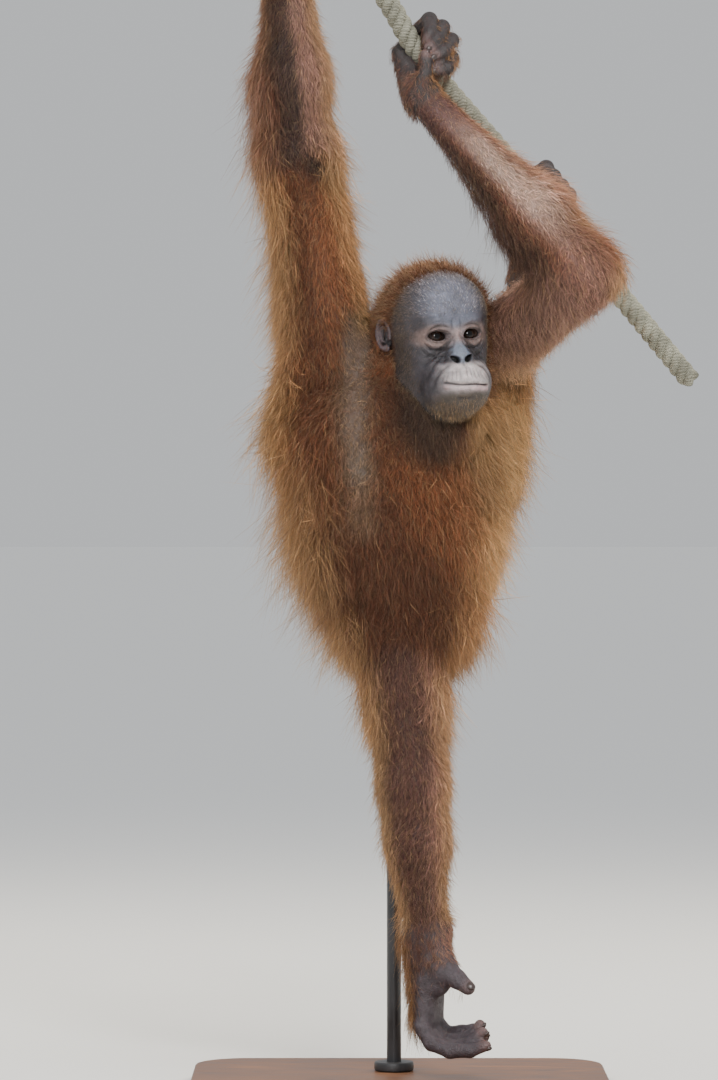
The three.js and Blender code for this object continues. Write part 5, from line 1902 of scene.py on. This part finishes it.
@dataclass(frozen=True)
class Eyeball:
    """One eye: a ball with a raised cornea, and an iris and pupil painted on it."""

    side: int
    iris: float = 7.0
    pupil: float = 3.0

    def make(self, material: bpy.types.Material) -> None:
        """Builds the eye in place of its node."""
        bm = bmesh.new()
        bmesh.ops.create_uvsphere(bm, u_segments=40, v_segments=30, radius=FACE.eye_radius / 1000)
        turned_in = HEAD.left * 0.04 * self.side
        look = unit(HEAD.front - turned_in + HEAD.up * 0.02 + np.array((-0.12, 0, 0)))
        turn = Vector(look).to_track_quat("Z", "Y").to_matrix().to_4x4()
        bmesh.ops.transform(bm, matrix=Matrix.Translation(Vector(FACE.eye(self.side))) @ turn, verts=bm.verts)
        mesh = as_mesh(bm, "eyeball", smooth=True)
        p = mesh_points(mesh)
        away = unit(p - FACE.eye(self.side))
        off = np.degrees(np.arccos(np.clip(away @ look, -1, 1)))
        ring = np.radians(off) * FACE.eye_radius
        bulge = 0.7 * (1 - ease(ring, 3.5, 6.5))
        mesh.vertices.foreach_set("co", (p + away * (bulge / 1000)[:, None]).astype(np.float32).ravel())
        colour = np.tile(TONES.eye_white, (len(p), 1))
        colour = mix(colour, TONES.iris_rim, 1 - ease(ring, self.iris - 0.7, self.iris))
        colour = mix(colour, TONES.iris, (1 - ease(ring, 4.4, 6.2)) * 0.9)
        colour = mix(colour, TONES.pupil, 1 - ease(ring, self.pupil - 0.3, self.pupil + 0.3))
        paint(mesh, colour)
        name = "left" if self.side > 0 else "right"
        piece = mesh_object(f"eyeball_{name}", mesh, material)
        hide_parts(f"eye_{name}")


@dataclass(frozen=True)
class NailFinish:
    """Dark horn with fine grooves along it."""

    def material(self) -> bpy.types.Material:
        """Builds the finish."""
        n = Nodes("nail")
        grooves = n.noise(900, 2, n.place((1, 1, 0.2)))
        n.link(n.between(grooves, srgb(40, 32, 32), srgb(78, 62, 58)), n.shader.inputs["Base Color"])
        n.bump([(grooves, 1.0)], 0.0002)
        n.set(Roughness=0.3, Coat_Weight=0.3, Coat_Roughness=0.2)
        return n.material


@dataclass
class Nails:
    """A short curved nail on the back of every finger and toe."""

    def make(self) -> None:
        """Builds all the nails as one piece."""
        bm = bmesh.new()
        for digit in ALL_DIGITS:
            self.add(bm, digit)
        piece = mesh_object("nails", as_mesh(bm, "nails", smooth=True), NailFinish().material())

    def add(self, bm: bmesh.types.BMesh, digit: Digit) -> None:
        """Adds one nail: a flattened ball set on the outer side of the last bone."""
        tip, last, before = digit.spots[-1], digit.spots[-2], digit.spots[-3]
        along = unit(tip - last)
        inner = unit((before - last) - along * ((before - last) @ along))
        outer = -inner
        side = np.cross(along, outer)
        radius = digit.radii[-1]
        middle = tip + along * 0.25 * radius / 1000 + outer * (radius * 0.66) / 1000
        facing = Facing(side, along, outer, middle)
        size = (radius * 0.64 / 1000, radius * 0.82 / 1000, radius * 0.4 / 1000)
        place = facing.matrix(middle, size)
        bmesh.ops.create_uvsphere(bm, u_segments=20, v_segments=12, radius=1, matrix=place)


@dataclass(frozen=True)
class RopeFinish:
    """Weathered, pale three-strand fibre, with yarns across each strand."""

    def material(self) -> bpy.types.Material:
        """Builds the finish."""
        n = Nodes("rope_fibre")
        chart = n.add("ShaderNodeUVMap", uv_map="strand").outputs["UV"]
        wave = n.add("ShaderNodeTexWave", wave_type="BANDS", bands_direction="DIAGONAL")
        wave.inputs["Scale"].default_value = 1.0
        wave.inputs["Distortion"].default_value = 1.2
        n.link(chart, wave.inputs["Vector"])
        yarns = wave.outputs["Fac"]
        dirt = n.noise(40, 4, n.place())
        fuzz = n.noise(700, 3, n.place())
        colour = n.between(n.spread(dirt, 0.35, 1.0), srgb(86, 84, 74), srgb(168, 166, 148))
        n.link(n.shade(colour, n.spread(yarns, 0.82, 1.08)), n.shader.inputs["Base Color"])
        n.bump([(yarns, 1.0), (fuzz, 0.5)], 0.0008)
        n.set(Roughness=0.9, Specular_IOR_Level=0.2)
        return n.material


@dataclass
class Rope:
    """The cut length of rope: three strands laid round each other, with a chart for their yarns."""

    lay: float = 0.038
    chart_scale: float = 320
    strand_radius: float = 0.0058
    lay_radius: float = 0.0063
    steps: int = 420
    sides: int = 12

    def round(self, path: Points) -> tuple[Points, Points]:
        """The two directions across a path at each of its points."""
        ahead = unit(np.gradient(path, axis=0))
        side = unit(np.cross(np.array((0, 1.0, 0)), ahead))
        return side, np.cross(ahead, side)

    def make(self) -> None:
        """Builds the three strands as one piece in place of the rope's node."""
        middle = ROPE.smooth(self.steps)
        side, rise = self.round(middle)
        run = run_along(middle)
        log.info("rope: %.3f m long", run[-1])
        bm = bmesh.new()
        chart = bm.loops.layers.uv.new("strand")
        for strand in range(3):
            turn = 2 * math.pi * (run / self.lay + strand / 3)
            path = middle + self.lay_radius * (side * np.cos(turn)[:, None] + rise * np.sin(turn)[:, None])
            self.tube(bm, chart, path, run)
        piece = mesh_object("rope_strands", as_mesh(bm, "rope", smooth=True), RopeFinish().material())
        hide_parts("rope")

    def tube(self, bm: bmesh.types.BMesh, chart: bmesh.types.BMLayerItem, path: Points, run: Points) -> None:
        """Extrudes a ring along a path, with the strand's chart on each new face.

        Args:
            bm: The mesh that the tube joins.
            chart: The map that the yarns follow.
            path: The middle of the strand.
            run: How far along the rope each point lies.
        """
        side, rise = self.round(path)
        turns = np.arange(self.sides) * 2 * math.pi / self.sides

        def corner(step: int, t: float) -> Points:
            """A corner of the strand at a step of its path, at a turn about it."""
            return path[step] + self.strand_radius * (side[step] * math.cos(t) + rise[step] * math.sin(t))

        ring = [bm.verts.new(corner(0, t)) for t in turns]
        edges = [bm.edges.new((ring[i], ring[(i + 1) % self.sides])) for i in range(self.sides)]
        bm.faces.new(ring)
        for step in range(1, len(path)):
            grown = bmesh.ops.extrude_edge_only(bm, edges=edges)["geom"]
            verts = [v for v in grown if isinstance(v, bmesh.types.BMVert)]
            faces = [f for f in grown if isinstance(f, bmesh.types.BMFace)]
            late_verts = set(verts)
            edges = [e for e in grown if isinstance(e, bmesh.types.BMEdge) and late_verts.issuperset(e.verts)]
            for vert, t in zip(verts, turns):
                vert.co = corner(step, t)
            for i, face in enumerate(faces):
                for j, loop in enumerate(face.loops):
                    here = run[step if loop.vert in late_verts else step - 1]
                    loop[chart].uv = (here * self.chart_scale, (i + (j in (1, 2))) * 2 / self.sides)
        bmesh.ops.contextual_create(bm, geom=edges)


@dataclass(frozen=True)
class WoodFinish:
    """Oiled dark wood with its grain along X."""

    def material(self) -> bpy.types.Material:
        """Builds the finish."""
        n = Nodes("stand_wood")
        pattern = n.add("ShaderNodeTexNoise", Scale=6, Detail=6, Distortion=1.4)
        n.link(n.place((1.6, 14, 14)), pattern.inputs["Vector"])
        lines = pattern.outputs["Fac"]
        colour = n.between(n.spread(lines, 0, 1), srgb(74, 48, 34), srgb(128, 88, 60))
        n.link(colour, n.shader.inputs["Base Color"])
        n.link(n.spread(lines, 0.38, 0.55), n.shader.inputs["Roughness"])
        n.bump([(lines, 1.0)], 0.0003)
        n.set(Coat_Weight=0.2, Coat_Roughness=0.3)
        return n.material


@dataclass(frozen=True)
class MetalFinish:
    """Satin black paint over steel, with a faint orange peel."""

    def material(self) -> bpy.types.Material:
        """Builds the finish."""
        n = Nodes("stand_metal")
        peel = n.noise(500, 2, n.place())
        wear = n.noise(30, 5, n.place())
        colour = n.between(n.spread(wear, 0, 1), srgb(34, 34, 36), srgb(58, 58, 60))
        n.link(colour, n.shader.inputs["Base Color"])
        n.link(n.spread(wear, 0.32, 0.46), n.shader.inputs["Roughness"])
        n.bump([(peel, 1.0)], 0.00008)
        return n.material


@dataclass
class Stand:
    """The flat base, the collar and the rod."""

    width: float = 0.460
    depth: float = 0.380
    height: float = 0.018
    corner: float = 0.060
    edge: float = 0.003
    rod_radius: float = 0.008
    rod_x: float = -0.006
    rod_y: float = 0.064
    collar_radius: float = 0.022
    collar_height: float = 0.010
    gap: float = 0.0003

    def base(self) -> None:
        """A plate with round corners and a soft edge."""
        bm = bmesh.new()
        bmesh.ops.create_cube(bm, size=1)
        bmesh.ops.scale(bm, vec=(self.width, self.depth, self.height), verts=bm.verts)
        bmesh.ops.translate(bm, vec=(0, 0, self.height / 2), verts=bm.verts)
        upright = [e for e in bm.edges if abs(e.verts[0].co.z - e.verts[1].co.z) > self.height / 2]
        self.round(bm, upright, self.corner, 10)
        top = [e for e in bm.edges if all(v.co.z > self.height - 1e-6 for v in e.verts) and e.is_manifold]
        level = [e for e in top if any(abs(f.normal.z) < 0.5 for f in e.link_faces)]
        self.round(bm, level, self.edge, 3)
        self.finish(bm, "stand_plate", "stand_base", "stand_board", WoodFinish().material())

    def round(
        self, bm: bmesh.types.BMesh, edges: list[bmesh.types.BMEdge], size: float, segments: int
    ) -> None:
        """Rounds edges by a size."""
        bmesh.ops.bevel(
            bm, geom=edges, offset=size, segments=segments, profile=0.5, affect="EDGES", material=-1
        )

    def upright(self, radius: float, low: float, high: float, edge: float, name: str, node: str) -> None:
        """A turned rod or disc with soft edges."""
        bm = bmesh.new()
        bmesh.ops.create_cone(
            bm,
            cap_ends=True,
            segments=48,
            radius1=radius,
            radius2=radius,
            depth=high - low,
            matrix=Matrix.Translation((self.rod_x, self.rod_y, (low + high) / 2)),
        )
        rims = [e for e in bm.edges if abs(e.verts[0].co.z - e.verts[1].co.z) < 1e-6]
        self.round(bm, rims, edge, 3)
        self.finish(bm, name, node, "stand_metal", MetalFinish().material())

    def finish(
        self, bm: bmesh.types.BMesh, name: str, node: str, slot: str, material: bpy.types.Material
    ) -> None:
        """Turns a mesh into a piece that stands for a node."""
        mesh = as_mesh(bm, name)
        for face in mesh.polygons:
            face.use_smooth = len(face.vertices) == 4 and face.area < 0.0008
        piece = mesh_object(name, mesh, material)
        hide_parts(node)

    def make(self) -> None:
        """Builds the stand's three pieces."""
        self.base()
        floor = self.height + self.gap
        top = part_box("stand_rod")[1].z
        collar_top = floor + self.collar_height
        self.upright(self.collar_radius, floor, collar_top, 0.002, "stand_ring", "stand_collar")
        self.upright(self.rod_radius, floor, top, 0.0005, "stand_post", "stand_rod")


@dataclass
class Studio:
    """The floor, the lights and the camera."""

    distance: float = 5.0
    camera_x: float = -0.045
    camera_z: float = 0.609
    view_height: float = 1.188

    def floor(self) -> None:
        """A plain pale floor."""
        bm = bmesh.new()
        bmesh.ops.create_grid(bm, x_segments=2, y_segments=2, size=400)
        mesh = as_mesh(bm, "floor")
        n = Nodes("floor")
        n.set(Base_Color=(0.71, 0.715, 0.715, 1), Roughness=0.85)
        mesh.materials.append(n.material)
        ground = new_object("floor", mesh)

    def light(self, name: str, place: Triple, size: float, power: float, colour: Triple) -> None:
        """A square light that points at the animal's chest. The catch light shows only in what shines."""
        lamp = bpy.data.lights.new(name, "AREA")
        lamp.size = size
        lamp.energy = power
        lamp.color = colour
        holder = new_object(name, lamp)
        holder.location = place
        holder.visible_glossy = name in ("key", "catch")
        holder.visible_diffuse = name != "catch"
        aim = Vector((0, 0, 0.75)) - Vector(place)
        holder.rotation_euler = aim.to_track_quat("-Z", "Y").to_euler()

    def world(self) -> None:
        """A pale, even sky."""
        world = bpy.data.worlds.new("sky")
        world.use_nodes = True
        world.node_tree.nodes["Background"].inputs[0].default_value = (0.80, 0.82, 0.84, 1)
        world.node_tree.nodes["Background"].inputs[1].default_value = 0.75
        bpy.context.scene.world = world

    def camera(self) -> None:
        """A level camera in front, with the photo's framing."""
        camera = bpy.data.cameras.new("camera")
        camera.sensor_width = 36
        camera.lens = 36 * self.distance / self.view_height
        camera.clip_end = 1000
        holder = new_object("camera", camera)
        holder.location = (self.camera_x, -self.distance, self.camera_z)
        holder.rotation_euler = (math.pi / 2, 0, 0)
        bpy.context.scene.camera = holder

    def make(self) -> None:
        """Builds the studio."""
        self.floor()
        self.world()
        self.camera()
        self.light("key", (0.7, -2.6, 2.9), 0.5, 75, (1.0, 0.98, 0.95))
        self.light("fill", (-2.4, -3.0, 1.6), 2.2, 45, (0.92, 0.96, 1.0))
        self.light("rim_right", (-1.7, 1.6, 2.6), 1.0, 70, (1.0, 0.90, 0.72))
        self.light("rim_left", (1.8, 1.4, 2.4), 1.0, 75, (1.0, 0.90, 0.72))
        self.light("catch", (-0.3, -3.2, 1.5), 0.8, 60, (1.0, 1.0, 1.0))
        sun = bpy.data.lights.new("sun", "SUN")
        sun.energy = 1.1
        sun.angle = 0.5
        holder = new_object("sun", sun)
        holder.visible_glossy = False
        holder.rotation_euler = (math.radians(28), math.radians(12), 0)


def main() -> None:
    """Builds the model and its studio."""
    Studio().make()
    Stand().make()
    Rope().make()
    eye = EyeFinish().material()
    for side in (-1, 1):
        Eyeball(side).make(eye)
    Nails().make()
    skin = Hide().make("skin")
    Coat(GROWTHS).make(skin.data)


if __name__ == "__main__":
    main()
